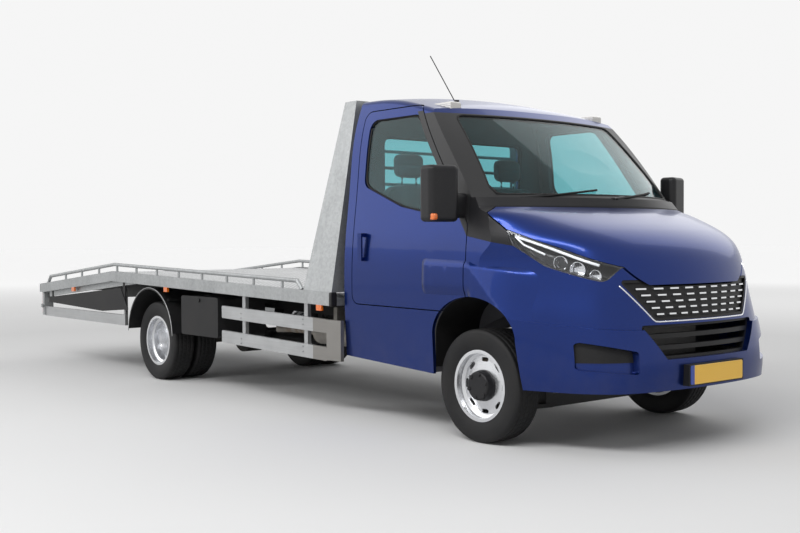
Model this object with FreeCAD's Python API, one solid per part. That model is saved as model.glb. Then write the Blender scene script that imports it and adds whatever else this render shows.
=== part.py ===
"""Light car transporter truck: a bonneted van cab on a ladder chassis with twin rear wheels,
a galvanised transporter deck that kinks behind the rear axle, and a headboard behind the cab.

Lengths are millimetres. The truck is modelled from a point on the ground below the front axle,
with x forward, y to the left and z up, and is moved at the end so that the origin is the middle
of the ground that it covers.
"""
import FreeCAD
import Part
import functools
import math
import os

Vector = FreeCAD.Vector

# Overall lengths
wheelbase = 4100.0
front_overhang = 1040.0
overrun = 50.0
same_point = 1e-4
seat_gap = 0.3
panel_gap = 7.0

# Wheels
tyre_radius = 347.0
tyre_width = 195.0
tyre_bead_radius = 206.0
tyre_shoulder = 26.0
rim_flange_radius = 219.0
rim_flange_width = 9.0
rim_width = 150.0
rim_wall = 7.0
rim_well_depth = 22.0
rim_well_width = 62.0
wheel_disc_thickness = 9.0
hub_radius = 78.0
spindle_radius = 30.0
running_clearance = 0.06
front_track = 1724.0
front_disc_inset = 34.0
front_slot_count = 8
front_slot_radius = 158.0
front_slot_length = 58.0
front_slot_width = 26.0
brake_disc_radius = 120.0
brake_disc_thickness = 24.0
brake_disc_depth = 92.0
hub_cover_radius = 96.0
hub_cover_depth = 58.0
hub_cover_edge = 14.0
rear_track = 1540.0
twin_spacing = 226.0
rear_slot_count = 8
rear_slot_radius = 132.0
rear_slot_length = 46.0
rear_slot_width = 30.0
rear_hub_radius = 84.0
rear_hub_depth = 62.0
rear_hub_nose_radius = 44.0

# Steering and front suspension
kingpin_offset = 72.0
ball_joint_radius = 17.0
joint_boss_height = 26.0
knuckle_thickness = 34.0
knuckle_width = 64.0
steering_arm_length = 120.0
steering_arm_thickness = 18.0
caliper_length = 120.0
caliper_gap = 5.0
caliper_cheek = 14.0
crossmember_width = 150.0
crossmember_height = 84.0
crossmember_bottom = 262.0
arm_height = 26.0
arm_spread = 170.0
damper_radius = 27.0
damper_top_height = 660.0
damper_foot_line = 690.0
damper_lean = 70.0
tower_length = 110.0
tower_height = 60.0

# Chassis
rail_spread = 862.0
rail_width = 62.0
rail_wall = 6.0
rail_height = 160.0
cab_mount_radius = 30.0
rail_front = 880.0
rail_front_top = 560.0
rail_front_height = 120.0
rail_kick_start = -1290.0
rail_kick_end = -1560.0
rail_tail_height = 86.0
cross_tube_radius = 38.0
rail_end_inset = 120.0
axle_tube_radius = 52.0
axle_spring_seat = 34.0
differential_radius = 158.0
differential_width = 180.0
differential_nose = 190.0
differential_nose_radius = 62.0
spring_half_length = 620.0
spring_width = 60.0
spring_thickness = 46.0
spring_camber = 96.0
spring_eye_radius = 26.0
spring_pin_radius = 12.0
spring_bracket_thickness = 8.0
propshaft_radius = 42.0
propshaft_joint_radius = 60.0
propshaft_joint_length = 90.0
engine_front = 700.0
engine_rear = 165.0
engine_bottom = 400.0
engine_top = 900.0
engine_width = 520.0
gearbox_rear = -1120.0
gearbox_width = 300.0
gearbox_height = 190.0
gearbox_bottom = 352.0
engine_mount_radius = 30.0
tank_front = -1520.0
tank_rear = -2420.0
tank_width = 420.0
tank_bottom = 424.0
tank_height = 290.0
tank_corner = 46.0
tank_strap_width = 44.0
tank_strap_thickness = 5.0
silencer_front = -1560.0
silencer_length = 640.0
silencer_radius = 96.0
silencer_height = 520.0
pipe_radius = 32.0
pipe_bend = 90.0
pipe_outlet = 420.0

# Cab body
cab_rear = -1270.0
cab_width = 2006.0
sill_bottom_rear = 439.0
sill_bottom_front = 392.0
sill_half_width = 985.0
waist_height = 1150.0
shoulder_height = 1320.0
shoulder_half_width = 988.0
glass_waist_height = 1577.0
glass_waist_half_width = 958.0
head_height = 1998.0
head_half_width = 901.0
gutter_height = 2150.0
gutter_half_width = 852.0
cab_wall = 58.0
nose_skin = 26.0
bumper_wall = 50.0
scuttle_top = 1505.0
scuttle_bottom = 1470.0
sill_inner = 880.0
door_inner_line = 560.0
door_arch_gap = 8.0
pillar_round = 34.0
roof_round = 46.0
roof_crown = 78.0
roof_rear_height = 2247.0
roof_middle_height = 2214.0
roof_front_height = 2088.0
roof_front = -375.0
cowl_tool_height = 1540.0
nose_bottom_height = 250.0
cab_foot_height = 320.0
screen_base_height = 1490.0
screen_base_reach = 300.0
screen_base_sweep = 362.0
screen_head_height = 2060.0
screen_head_reach = -345.0
screen_head_sweep = 176.0
screen_bulge = 14.0
screen_glass = 7.0
glass_inset = 6.0
screen_opening_base = 1505.0
screen_opening_head = 2040.0
screen_opening_base_half = 862.0
screen_opening_head_half = 756.0
screen_corner = 60.0
cab_floor = 700.0
floor_wall = 62.0
cab_toe_height = 905.0
cab_toe_start = -430.0
firewall = 90.0
rear_window_bottom = 1420.0
rear_window_top = 1960.0
rear_window_half = 690.0
rear_window_corner = 60.0

# Nose of the cab: reach of the middle line ahead of the front axle at each height
nose_foot_reach = 959.0
bumper_height = 530.0
bumper_reach = 988.0
grille_foot_height = 760.0
grille_foot_reach = 962.0
grille_head_height = 975.0
grille_head_reach = 928.0
badge_height = 1090.0
badge_reach = 905.0
brow_height = 1215.0
brow_reach = 822.0
bonnet_middle_height = 1303.0
bonnet_middle_reach = 682.0
bonnet_rear_height = 1383.0
bonnet_rear_reach = 478.0
cowl_height = 1433.0
cowl_reach = 330.0

# Doors
door_front = -57.0
door_rear = -1180.0
door_bottom_rear = 804.0
door_bottom_front = 792.0
door_head_rear = 2110.0
door_head_front = -610.0
door_pillar_foot = 1330.0
door_corner = 60.0
door_mirror_foot = 1256.0
window_rear = -1108.0
window_rear_foot = 1600.0
window_head = 2050.0
window_head_front = -620.0
window_foot_front = -118.0
window_foot_height = 1345.0
window_sag_x = -700.0
window_sag_height = 1450.0
window_corner = 70.0
door_glass = 5.0
door_glass_inset = 16.0
handle_x = -1062.0
handle_foot = 1094.0
handle_height = 186.0
handle_width = 40.0
handle_depth = 34.0
handle_grip = 12.0
mirror_front = -40.0
mirror_trail = 50.0
mirror_depth = 130.0
mirror_inner = 1046.0
mirror_outer = 1250.0
mirror_foot = 1342.0
mirror_height = 340.0
mirror_corner = 40.0
mirror_round = 28.0
mirror_glass_thickness = 3.0
mirror_arm_height = 150.0
mirror_arm_depth = 100.0
mirror_arm_foot = 1366.0
mirror_arm_round = 24.0

# Wheel arch
arch_half_length = 366.0
arch_top = 890.0
arch_waist = 640.0
arch_front_foot = 426.0
liner_foot = 430.0
liner_inner = 562.0
liner_wall = 5.0
liner_inset = 30.0
liner_outer = 968.0

# Swelling of the side over the front wheel arch: its upper edge falls towards the headlamp's chin
swell_depth = 17.0
swell_sink = 9.0
swell_slope = 62.0
swell_rear_x = -470.0
swell_rear_run = 44.0
swell_middle_x = -54.0
swell_front_x = 300.0
swell_tip_x = 545.0
swell_rear_height = 1081.0
swell_middle_height = 1071.0
swell_front_height = 1036.0
swell_tip_height = 1005.0
swell_low_height = 600.0
swell_fade_foot = 850.0
swell_fade_head = 960.0
swell_solid_depth = 60.0
swell_columns = 34
swell_row_count = 26

# Bonnet, lamps, grille and bumper edges, given as reach ahead of the front axle and height
lamp_tail_x = 237.0
lamp_tail_height = 1292.0
lamp_crest_x = 560.0
lamp_crest_height = 1180.0
lamp_nose_x = 812.0
lamp_nose_height = 1072.0
lamp_chin_x = 776.0
lamp_chin_height = 985.0
lamp_belly_x = 480.0
lamp_belly_height = 1078.0
lamp_heel_x = 292.0
lamp_heel_height = 1196.0
lamp_depth = 82.0
lamp_inner_line = 520.0
lamp_glass = 5.0
lamp_wall = 8.0
lamp_corner = 30.0
bonnet_lip_height = 966.0
bonnet_lip_x = 880.0
bonnet_side_height = 1392.0
bonnet_side_x = 102.0
grille_half_head = 640.0
grille_half_foot = 436.0
grille_foot = 766.0
grille_rows = 5
grille_bar_height = 9.0
grille_bar_depth = 14.0
grille_bar_count = 9
grille_bar_share = 0.56
grille_depth = 24.0
grille_head = 1000.0
grille_corner = 18.0
grille_rear_x = 500.0
grille_rim = 16.0
grille_recess = 2.0
bumper_top_rear = 804.0
bumper_top_front = 702.0
bumper_ledge = 16.0
bumper_bottom = 366.0
bumper_line_x = 0.0
intake_half_head = 560.0
intake_half_foot = 398.0
intake_head = 742.0
intake_foot = 545.0
intake_slat_height = 26.0
intake_slat_count = 2
fog_recess_inner = 600.0
fog_recess_outer = 880.0
fog_recess_head = 628.0
fog_recess_foot = 470.0
fog_recess_depth = 34.0
fog_recess_corner = 20.0
fog_recess_rise = 30.0
fog_cover_depth = 24.0
fog_tray_share = 0.42
plate_mount_width = 540.0
plate_mount_height = 124.0
plate_mount_middle = 449.0
plate_mount_reach = 1034.0

# Cab trim
wiper_radius = 7.0
wiper_blade_length = 560.0
wiper_stand_off = 16.0
wiper_post = 60.0
wiper_first_y = -700.0
wiper_second_y = -60.0
wiper_rise = 60.0
roof_lamp_length = 190.0
roof_lamp_width = 92.0
roof_lamp_height = 40.0
roof_lamp_rise = 43.0
roof_lamp_round = 14.0
roof_lamp_x = -560.0
roof_lamp_y = 700.0
antenna_x = -650.0
antenna_y = -520.0
antenna_foot_height = 2138.0
antenna_rise = 364.0
antenna_lean = 268.0
antenna_radius = 3.5
antenna_base_rise = 34.0
antenna_base_radius = 16.0
dash_front = 40.0
dash_rear = -330.0
dash_top = 1392.0
dash_foot = 1060.0
dash_drop = 60.0
dash_side_gap = 26.0
dash_round = 40.0
steering_column_length = 300.0
steering_wheel_radius = 196.0
steering_wheel_grip = 15.0
steering_wheel_x = -390.0
steering_wheel_y = 400.0
steering_wheel_z = 1270.0
steering_wheel_rake = 32.0
steering_column_radius = 34.0
steering_hub_radius = 62.0
seat_front = -560.0
seat_rear = -1090.0
seat_base_height = 980.0
seat_base_thickness = 150.0
seat_back_thickness = 130.0
seat_back_height = 640.0
seat_back_lean = 60.0
seat_corner = 46.0
driver_seat_y = 400.0
driver_seat_width = 500.0
bench_y = -350.0
bench_width = 900.0
headrest_width = 250.0
headrest_height = 170.0
headrest_depth = 90.0
headrest_gap = 46.0
headrest_pin_radius = 8.0
headrest_pin_spread = 130.0

# Deck
deck_half_width = 1075.0
deck_front = -1350.0
deck_kink = -4800.0
deck_tail = -6540.0
beam_top_front = 871.0
beam_top_kink = 955.0
beam_top_tail = 789.0
beam_height = 93.0
beam_tail_chamfer = 86.0
beam_web = 5.0
beam_flange = 46.0
plank_drop = 9.0
plank_thickness = 30.0
plank_count = 8
plank_seam = 6.0
plank_skin = 4.0
cross_bearer_height = 54.0
cross_bearer_width = 50.0
cross_bearer_count = 9
tail_bearer_count = 4
side_strut_width = 40.0
side_strut_depth = 62.0
rail_radius_bar = 16.0
rail_line = 1046.0
rail_rise = 62.0
rail_post_pitch = 394.0
rail_post_radius = 11.0
rail_start_inset = 375.0
rail_end_reach = 170.0

# Headboard
headboard_front = -1350.0
headboard_sheet = 4.0
headboard_foot = 800.0
headboard_head = 2216.0
headboard_half_foot = 1060.0
headboard_half_head = 832.0
headboard_bar = 50.0
headboard_wing_foot = 345.0
headboard_wing_head = 132.0
headboard_opening_foot = 1400.0
headboard_opening_head = 1990.0
headboard_opening_half = 700.0
headboard_corner = 60.0
headboard_guard_radius = 12.0
headboard_guard_count = 4

# Mudguards, tool boxes, side guards and tail
mudguard_radius = 418.0
mudguard_wall = 6.0
mudguard_middle = 403.0
mudguard_foot = 436.0
mudguard_inner = 530.0
mudguard_outer = 1050.0
mudguard_lip = 16.0
mudguard_stay_radius = 14.0
mudguard_stay_angle = 42.0
toolbox_front = -2911.0
toolbox_rear = -3512.0
toolbox_bottom = 450.0
toolbox_top = 775.0
toolbox_inner = 600.0
toolbox_outer = 1050.0
toolbox_wall = 12.0
toolbox_lid_thickness = 18.0
toolbox_pin_radius = 5.0
toolbox_lock_radius = 16.0
toolbox_lock_depth = 9.0
toolbox_corner = 22.0
guard_front = -1440.0
guard_rear = -2865.0
guard_plank_height = 97.0
guard_plank_thickness = 28.0
guard_line = 1040.0
guard_top_foot = 600.0
guard_low_foot = 404.0
guard_post_width = 44.0
guard_post_depth = 30.0
guard_post_inset = 290.0
guard_plank_round = 10.0
guard_end_reach = 166.0
guard_end_foot = 395.0
guard_end_head = 678.0
tail_guard_front = -4645.0
tail_guard_foot = 456.0
tail_guard_cap = 44.0
tail_guard_post = -4668.0
tail_guard_post_width = 28.0
apron_rear_foot = 603.0
apron_rear_height = 52.0
apron_low_x = -5079.0
apron_low_foot = 568.0
apron_front_foot = 607.0
apron_front = -4540.0
apron_thickness = 6.0
apron_inset = 40.0
apron_front_lean = 150.0
keel_front = -4336.0
keel_tail = -6373.0
keel_height = 54.0
keel_thickness = 5.0
guard_head_plate = 6.0
carrier_width = 98.0
carrier_thickness = 46.0
carrier_foot = 462.0
carrier_inset = 18.0
lamp_height = 220.0
lamp_width = 80.0
lamp_thickness = 26.0
horn_radius = 20.0
horn_length = 40.0
marker_length = 62.0
marker_height = 40.0
marker_thickness = 18.0
marker_places = (-1485.0, -3749.0, -5690.0)

# Places worked out from the sizes above
rear_axle = -wheelbase
rearmost = deck_tail + carrier_inset - lamp_thickness
overall_length = plate_mount_reach - rearmost
front_axle_place = overall_length / 2 - plate_mount_reach
wheel_line = front_track / 2
twin_line = rear_track / 2
kingpin_line = wheel_line - kingpin_offset
rail_outer = rail_spread / 2
rail_inner = rail_outer - rail_width
beam_slope = (beam_top_kink - beam_top_front) / (deck_front - deck_kink)
tail_slope = (beam_top_kink - beam_top_tail) / (deck_kink - deck_tail)


def beam_top(x):
    """Height of the side beams' top edge: rising to the kink and falling to the tail."""
    if x > deck_kink:
        return beam_top_front + beam_slope * (deck_front - x)
    return beam_top_kink - tail_slope * (deck_kink - x)


def bearer_bottom(x):
    """Height at which the deck's cross bearers rest on the chassis rails."""
    return beam_top(x) - plank_drop - plank_thickness - cross_bearer_height


# Outlines and simple solids

def rounded_wire(corners, place):
    """Closed wire through corners (a, b, radius), with tangent arcs, in the plane of place."""
    pieces = []
    count = len(corners)
    for index in range(count):
        before = Vector(*corners[index - 1][:2], 0)
        here = Vector(*corners[index][:2], 0)
        after = Vector(*corners[(index + 1) % count][:2], 0)
        back = (before - here).normalize()
        ahead = (after - here).normalize()
        half_turn = back.getAngle(ahead) / 2
        radius = corners[index][2] if len(corners[index]) > 2 else 0
        cut = radius / math.tan(half_turn)
        middle = here
        if radius:
            bisector = (back + ahead).normalize()
            middle = here + bisector * (radius / math.sin(half_turn) - radius)
        pieces.append((here + back * cut, middle, here + ahead * cut, radius))
    edges = []
    for index in range(count):
        start, middle, end, radius = pieces[index]
        if radius:
            edges.append(Part.Arc(place(start), place(middle), place(end)).toShape())
        following = pieces[(index + 1) % count][0]
        if not end.isEqual(following, same_point):
            edges.append(Part.makeLine(place(end), place(following)))
    return Part.Wire(edges)


def spread(wire, grow):
    """An outline moved outwards by grow all round, or inwards where that is negative."""
    return wire.makeOffset2D(grow, 2) if grow else wire


def side_prism(corners, low, high, grow=0):
    """Solid with an outline of (x, z) corners, spread by grow, from y = low to y = high."""
    wire = rounded_wire(corners, lambda spot: Vector(spot.x, low, spot.y))
    return Part.Face(spread(wire, grow)).extrude(Vector(0, high - low, 0))


def front_prism(corners, low, high, grow=0):
    """Solid with an outline of (y, z) corners, spread by grow, from x = low to x = high."""
    wire = rounded_wire(corners, lambda spot: Vector(low, spot.x, spot.y))
    return Part.Face(spread(wire, grow)).extrude(Vector(high - low, 0, 0))


def plan_prism(corners, low, high, grow=0):
    """Solid with an outline of (x, y) corners, spread by grow, from z = low to z = high."""
    wire = rounded_wire(corners, lambda spot: Vector(spot.x, spot.y, low))
    return Part.Face(spread(wire, grow)).extrude(Vector(0, 0, high - low))


def block(x_low, x_high, y_low, y_high, z_low, z_high):
    """Box between two opposite corners."""
    size = (x_high - x_low, y_high - y_low, z_high - z_low)
    return Part.makeBox(*size, Vector(x_low, y_low, z_low))


def rod(start, end, radius):
    """Round bar from one point to another."""
    return Part.makeCylinder(radius, (end - start).Length, start, end - start)


def turned(profile, across):
    """Solid turned about the line along y through (0, across): profile corners are (radius, y)."""
    wire = rounded_wire(profile, lambda spot: Vector(spot.x, spot.y, across))
    axis = Vector(0, 0, across)
    return Part.Face(wire).revolve(axis, Vector(0, 1, 0), 360)


def moved(shape, x=0, y=0, z=0):
    """Copy of a shape, moved."""
    copy = shape.copy()
    copy.translate(Vector(x, y, z))
    return copy


def other_side(shape):
    """Mirror image of a shape in the truck's middle plane."""
    return shape.mirror(Vector(0, 0, 0), Vector(0, 1, 0))


def joined(shapes):
    """One solid from shapes that touch or overlap."""
    shapes = list(shapes)
    return shapes[0].fuse(shapes[1:]).removeSplitter() if len(shapes) > 1 else shapes[0]


def both_sides(shape):
    """A shape and its mirror image, as two solids that don't touch."""
    return Part.makeCompound([shape, other_side(shape)])


def bent_tube(points, radius):
    """Round tube along straight runs, with a ball at each turn."""
    parts = []
    for start, end in zip(points, points[1:]):
        parts.append(rod(start, end, radius))
    for turn in points[1:-1]:
        parts.append(Part.makeSphere(radius, turn))
    return joined(parts)


# Wheels

def tyre():
    """Tyre turned about the wheel's own middle, with rounded shoulders and a bulge to the sides."""
    bead = tyre_bead_radius + seat_gap
    half_bead = rim_width / 2
    half = tyre_width / 2
    side = (bead + tyre_radius) / 2
    profile = [
        (bead, -half_bead), (side, -half, tyre_shoulder), (tyre_radius, -half + tyre_shoulder / 2,
                                                           tyre_shoulder),
        (tyre_radius, half - tyre_shoulder / 2, tyre_shoulder), (side, half, tyre_shoulder),
        (bead, half_bead)]
    return turned(profile, 0)


def rim_barrel():
    """Rolled rim: two flanges, two bead seats and a well between them, open in the middle."""
    half = rim_width / 2
    seat = tyre_bead_radius
    well = seat - rim_well_depth
    half_well = rim_well_width / 2
    step = rim_well_depth / 2
    outer = [
        (rim_flange_radius, -half - rim_flange_width), (rim_flange_radius, -half - seat_gap),
        (seat, -half - seat_gap), (seat, -half_well - step), (well, -half_well),
        (well, half_well), (seat, half_well + step), (seat, half + seat_gap),
        (rim_flange_radius, half + seat_gap), (rim_flange_radius, half + rim_flange_width)]
    inner = [
        (seat - rim_wall, half + rim_flange_width), (seat - rim_wall, half_well + step),
        (well - rim_wall, half_well), (well - rim_wall, -half_well),
        (seat - rim_wall, -half_well - step), (seat - rim_wall, -half - rim_flange_width)]
    return turned(outer + inner, 0)


def slot_cutters(count, radius, length, width, depth):
    """Oblong cutters in a ring about the wheel's axis."""
    corners = [(-length / 2, radius - width / 2, width / 2 - same_point),
               (length / 2, radius - width / 2, width / 2 - same_point),
               (length / 2, radius + width / 2, width / 2 - same_point),
               (-length / 2, radius + width / 2, width / 2 - same_point)]
    cutter = side_prism(corners, -depth, depth)
    ring = []
    for index in range(count):
        turn = cutter.copy()
        turn.rotate(Vector(0, 0, 0), Vector(0, 1, 0), 360 * index / count)
        ring.append(turn)
    return ring


def wheel_disc(face, slope, rim_y, slots):
    """Pressed disc from the hub to the rim well, with slots; face is its flat middle's outer y."""
    well = tyre_bead_radius - rim_well_depth - rim_wall / 2
    thick = wheel_disc_thickness
    bend = (well + hub_radius) / 2 + slope
    profile = [(spindle_radius + running_clearance, face), (hub_radius, face),
               (bend, rim_y), (well, rim_y), (well, rim_y - thick), (bend - thick / 2, rim_y - thick),
               (hub_radius - thick / 2, face - thick), (spindle_radius + running_clearance, face - thick)]
    disc = turned(profile, 0)
    return disc.cut(slots)


def front_rim():
    """Front wheel: barrel and slotted disc, with the hub and the brake disc that turn with it."""
    slots = slot_cutters(front_slot_count, front_slot_radius, front_slot_length, front_slot_width,
                         rim_width)
    face = rim_width / 2 - front_disc_inset
    disc = wheel_disc(face, brake_disc_thickness, face - wheel_disc_thickness, slots)
    bore = spindle_radius + running_clearance
    back = face - brake_disc_depth
    hub = turned([(bore, face - wheel_disc_thickness), (hub_radius, face - wheel_disc_thickness),
                  (hub_radius, back), (brake_disc_radius, back),
                  (brake_disc_radius, back - brake_disc_thickness), (bore, back - brake_disc_thickness)], 0)
    return joined([rim_barrel(), disc, hub])


def hub_cover():
    """Domed cover over the middle of a front wheel, hollow over the spindle's end."""
    face = rim_width / 2 - front_disc_inset
    back = face + seat_gap
    tip = back + hub_cover_depth
    wall = wheel_disc_thickness
    inside = spindle_radius + running_clearance + wall
    profile = [(0, tip), (0, tip - wall), (inside, tip - wall), (inside, back),
               (hub_cover_radius, back), (hub_cover_radius, back + hub_cover_edge),
               (hub_cover_radius - wall, tip, hub_cover_edge)]
    return turned(profile, 0)


def rear_rims():
    """Two dished wheels bolted back to back, and the hub's nose that stands out in the dish."""
    reach = twin_spacing / 2
    slots = slot_cutters(rear_slot_count, rear_slot_radius, rear_slot_length, rear_slot_width,
                         twin_spacing)
    bore = spindle_radius + running_clearance
    thick = wheel_disc_thickness
    well = tyre_bead_radius - rim_well_depth - rim_wall / 2
    rise = reach - rim_well_width / 2
    corner = rear_slot_radius + rear_slot_width
    dish = [(bore, 0), (corner - thick, 0), (well, rise), (well, rise + thick * 2),
            (corner - thick * 2, thick), (bore, thick)]
    outer_disc = turned(dish, 0).cut(slots)
    inner_disc = other_side(outer_disc)
    nose = turned([(0, rear_hub_depth), (0, rear_hub_depth - thick), (bore, rear_hub_depth - thick),
                   (bore, thick), (rear_hub_radius, thick),
                   (rear_hub_radius, thick * 2), (rear_hub_nose_radius, thick * 3),
                   (rear_hub_nose_radius, rear_hub_depth, thick)], 0)
    barrels = [moved(rim_barrel(), y=reach), moved(rim_barrel(), y=-reach)]
    return joined(barrels + [outer_disc, inner_disc, nose])


def rear_tyres():
    """The two tyres of a twin wheel, as two solids."""
    reach = twin_spacing / 2
    return Part.makeCompound([moved(tyre(), y=reach), moved(tyre(), y=-reach)])


def at_wheel(shape, x, line):
    """Wheel piece put on the left side, its middle at x and the given line, resting on the ground."""
    return moved(shape, x=x, y=line, z=tyre_radius)


# Front axle

def brake_disc_faces():
    """Outer and inner face of the left brake disc, as distances from the middle plane."""
    face = wheel_line + rim_width / 2 - front_disc_inset
    return face - brake_disc_depth, face - brake_disc_depth - brake_disc_thickness


def joint_heights():
    """Heights of the flat faces where the lower and upper arms meet the knuckle."""
    reach = brake_disc_radius + caliper_gap + joint_boss_height
    return tyre_radius - reach, tyre_radius + reach


def knuckle():
    """Left steering knuckle: upright, two joint bosses, spindle, steering arm and brake caliper."""
    disc_outer, disc_inner = brake_disc_faces()
    low, high = joint_heights()
    outer = disc_inner - caliper_gap
    inner = outer - knuckle_thickness
    half = knuckle_width / 2
    upright = block(-half, half, inner, outer, low, high)
    tip = wheel_line + rim_width / 2 - front_disc_inset + wheel_disc_thickness
    spindle = rod(Vector(0, inner, tyre_radius), Vector(0, tip, tyre_radius), spindle_radius)
    bosses = []
    for foot in (low, high - joint_boss_height):
        start = Vector(0, kingpin_line, foot)
        bosses.append(rod(start, start + Vector(0, 0, joint_boss_height), ball_joint_radius))
        bosses.append(block(-ball_joint_radius, ball_joint_radius, inner, kingpin_line,
                            foot, foot + joint_boss_height))
    arm_foot = low + joint_boss_height
    arm = block(-steering_arm_length, 0, inner, inner + steering_arm_thickness,
                arm_foot, arm_foot + steering_arm_thickness)
    near = hub_radius + caliper_gap
    far = brake_disc_radius + caliper_gap + caliper_cheek
    caliper = block(near, far, disc_inner - caliper_gap - caliper_cheek,
                    disc_outer + caliper_gap + caliper_cheek,
                    tyre_radius - caliper_length / 2, tyre_radius + caliper_length / 2)
    slot = block(near - overrun, brake_disc_radius + caliper_gap, disc_inner - caliper_gap,
                 disc_outer + caliper_gap, tyre_radius - caliper_length, tyre_radius + caliper_length)
    bracket = block(0, near + caliper_cheek, inner, outer, tyre_radius - half, tyre_radius + half)
    return joined([upright, spindle, arm, caliper.cut(slot), bracket] + bosses)


def wishbone(foot, root_line, root_half):
    """Arm from the rails to the ball joint, wide at its root, with a round tip."""
    corners = [(-root_half, root_line), (root_half, root_line),
               (ball_joint_radius, kingpin_line), (-ball_joint_radius, kingpin_line)]
    plate = plan_prism(corners, foot, foot + arm_height)
    tip = rod(Vector(0, kingpin_line, foot), Vector(0, kingpin_line, foot + arm_height),
              ball_joint_radius)
    hole_corners = [(-root_half / 2, root_line + arm_spread / 4), (root_half / 2, root_line + arm_spread / 4),
                    (0, kingpin_line - arm_spread / 2)]
    hole = plan_prism(hole_corners, foot - overrun, foot + arm_height + overrun)
    return joined([plate.cut(hole), tip])


def front_suspension():
    """Crossmember below the engine, two wishbones a side, and dampers up to towers on the rails."""
    low, high = joint_heights()
    lower_foot = low - seat_gap - arm_height
    upper_foot = high + seat_gap
    parts = [block(-crossmember_width / 2, crossmember_width / 2, -rail_outer, rail_outer,
                   lower_foot, lower_foot + crossmember_height)]
    hanger_top = rail_front_top - rail_front_height
    for side in (1, -1):
        arms = [wishbone(lower_foot, rail_outer - overrun, arm_spread / 2),
                wishbone(upper_foot, rail_outer - overrun, arm_spread / 2)]
        foot = Vector(0, damper_foot_line, lower_foot + arm_height / 2)
        top = Vector(0, damper_foot_line - damper_lean, damper_top_height)
        arms.append(rod(foot, top, damper_radius))
        arms.append(block(-tower_length / 2, tower_length / 2, rail_inner, top.y + damper_radius,
                          rail_front_top, rail_front_top + tower_height))
        arms.append(block(-tower_length / 2, tower_length / 2, rail_inner, top.y + damper_radius,
                          upper_foot - overrun, upper_foot + arm_height / 2))
        arms.append(block(-crossmember_width / 2, crossmember_width / 2, rail_inner, rail_outer,
                          lower_foot, hanger_top))
        column = joined(arms)
        parts.append(column if side > 0 else other_side(column))
    return joined(parts).cut([rail_space(), other_side(rail_space())])


# Chassis

def rail_top(x):
    """Top edge of the chassis rails behind the cab."""
    return bearer_bottom(x)


def rail_corners(inset):
    """Side view of a chassis rail: low under the engine, a kick up, then along under the deck."""
    tail = deck_tail + rail_end_inset
    front_low = rail_front_top - rail_front_height
    kick = rail_kick_end
    low_kick = rail_top(kick) - rail_height
    return [
        (rail_front, front_low + inset), (rail_front, rail_front_top - inset),
        (rail_kick_start, rail_front_top - inset), (kick, rail_top(kick) - inset),
        (deck_kink, rail_top(deck_kink) - inset),
        (tail, rail_top(tail) - inset), (tail, rail_top(tail) - rail_tail_height + inset),
        (deck_kink, rail_top(deck_kink) - rail_height + inset),
        (kick, low_kick + inset),
        (rail_kick_start, front_low + inset)]


def rail_space():
    """The whole space of the left rail."""
    return side_prism(rail_corners(0), rail_inner, rail_outer)


def chassis_frame():
    """Two channel rails, open inwards, with round cross tubes between their webs."""
    channel = side_prism(rail_corners(rail_wall), rail_inner - overrun, rail_outer - rail_wall)
    rail = rail_space().cut(channel)
    web = rail_outer - rail_wall
    tubes = []
    for x in (rail_front - rail_end_inset, rail_kick_end, deck_front / 2 + rear_axle / 2,
              rear_axle + spring_half_length + rail_end_inset,
              rear_axle - spring_half_length - rail_end_inset, deck_tail + rail_end_inset * 2):
        if x > rail_kick_start:
            middle = rail_front_top - rail_front_height / 2
        else:
            middle = rail_top(x) - (rail_tail_height if x < deck_kink else rail_height) / 2
        tubes.append(rod(Vector(x, -web, middle), Vector(x, web, middle), cross_tube_radius))
    return joined([rail, other_side(rail)] + tubes + spring_hangers() + cab_mounts())


def cab_mounts():
    """Round pads between the rails and the cab's floor."""
    middle = (rail_inner + rail_outer) / 2
    pads = []
    for x in (cab_toe_start - cab_mount_radius, cab_rear + cab_mount_radius * 2):
        for y in (-middle, middle):
            pads.append(rod(Vector(x, y, rail_front_top), Vector(x, y, cab_floor - floor_wall),
                            cab_mount_radius))
    return pads


def spring_places():
    """Front and rear x of the leaf springs' eyes."""
    return rear_axle + spring_half_length, rear_axle - spring_half_length


def spring_eye_height():
    """Height of the spring eyes: the axle's seat plus the spring's camber."""
    return tyre_radius + axle_tube_radius + spring_camber


def spring_hangers():
    """Plates that hang from the rails beside each spring eye, with the eye's pin between them."""
    parts = []
    height = spring_eye_height()
    middle = (rail_inner + rail_outer) / 2
    for x in spring_places():
        top = rail_top(x) - rail_height / 2
        for line in (middle - spring_width / 2 - seat_gap - spring_bracket_thickness,
                     middle + spring_width / 2 + seat_gap):
            corners = [(x - spring_eye_radius, height), (x + spring_eye_radius, height),
                       (x + spring_eye_radius * 2, top), (x - spring_eye_radius * 2, top)]
            plate = side_prism(corners, line, line + spring_bracket_thickness)
            ear = rod(Vector(x, line, height), Vector(x, line + spring_bracket_thickness, height),
                      spring_eye_radius)
            parts += [plate, ear, other_side(plate), other_side(ear)]
        start = middle - spring_width / 2 - spring_bracket_thickness
        pin = rod(Vector(x, start, height),
                  Vector(x, middle + spring_width / 2 + spring_bracket_thickness, height),
                  spring_pin_radius)
        parts += [pin, other_side(pin)]
    return parts


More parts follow.
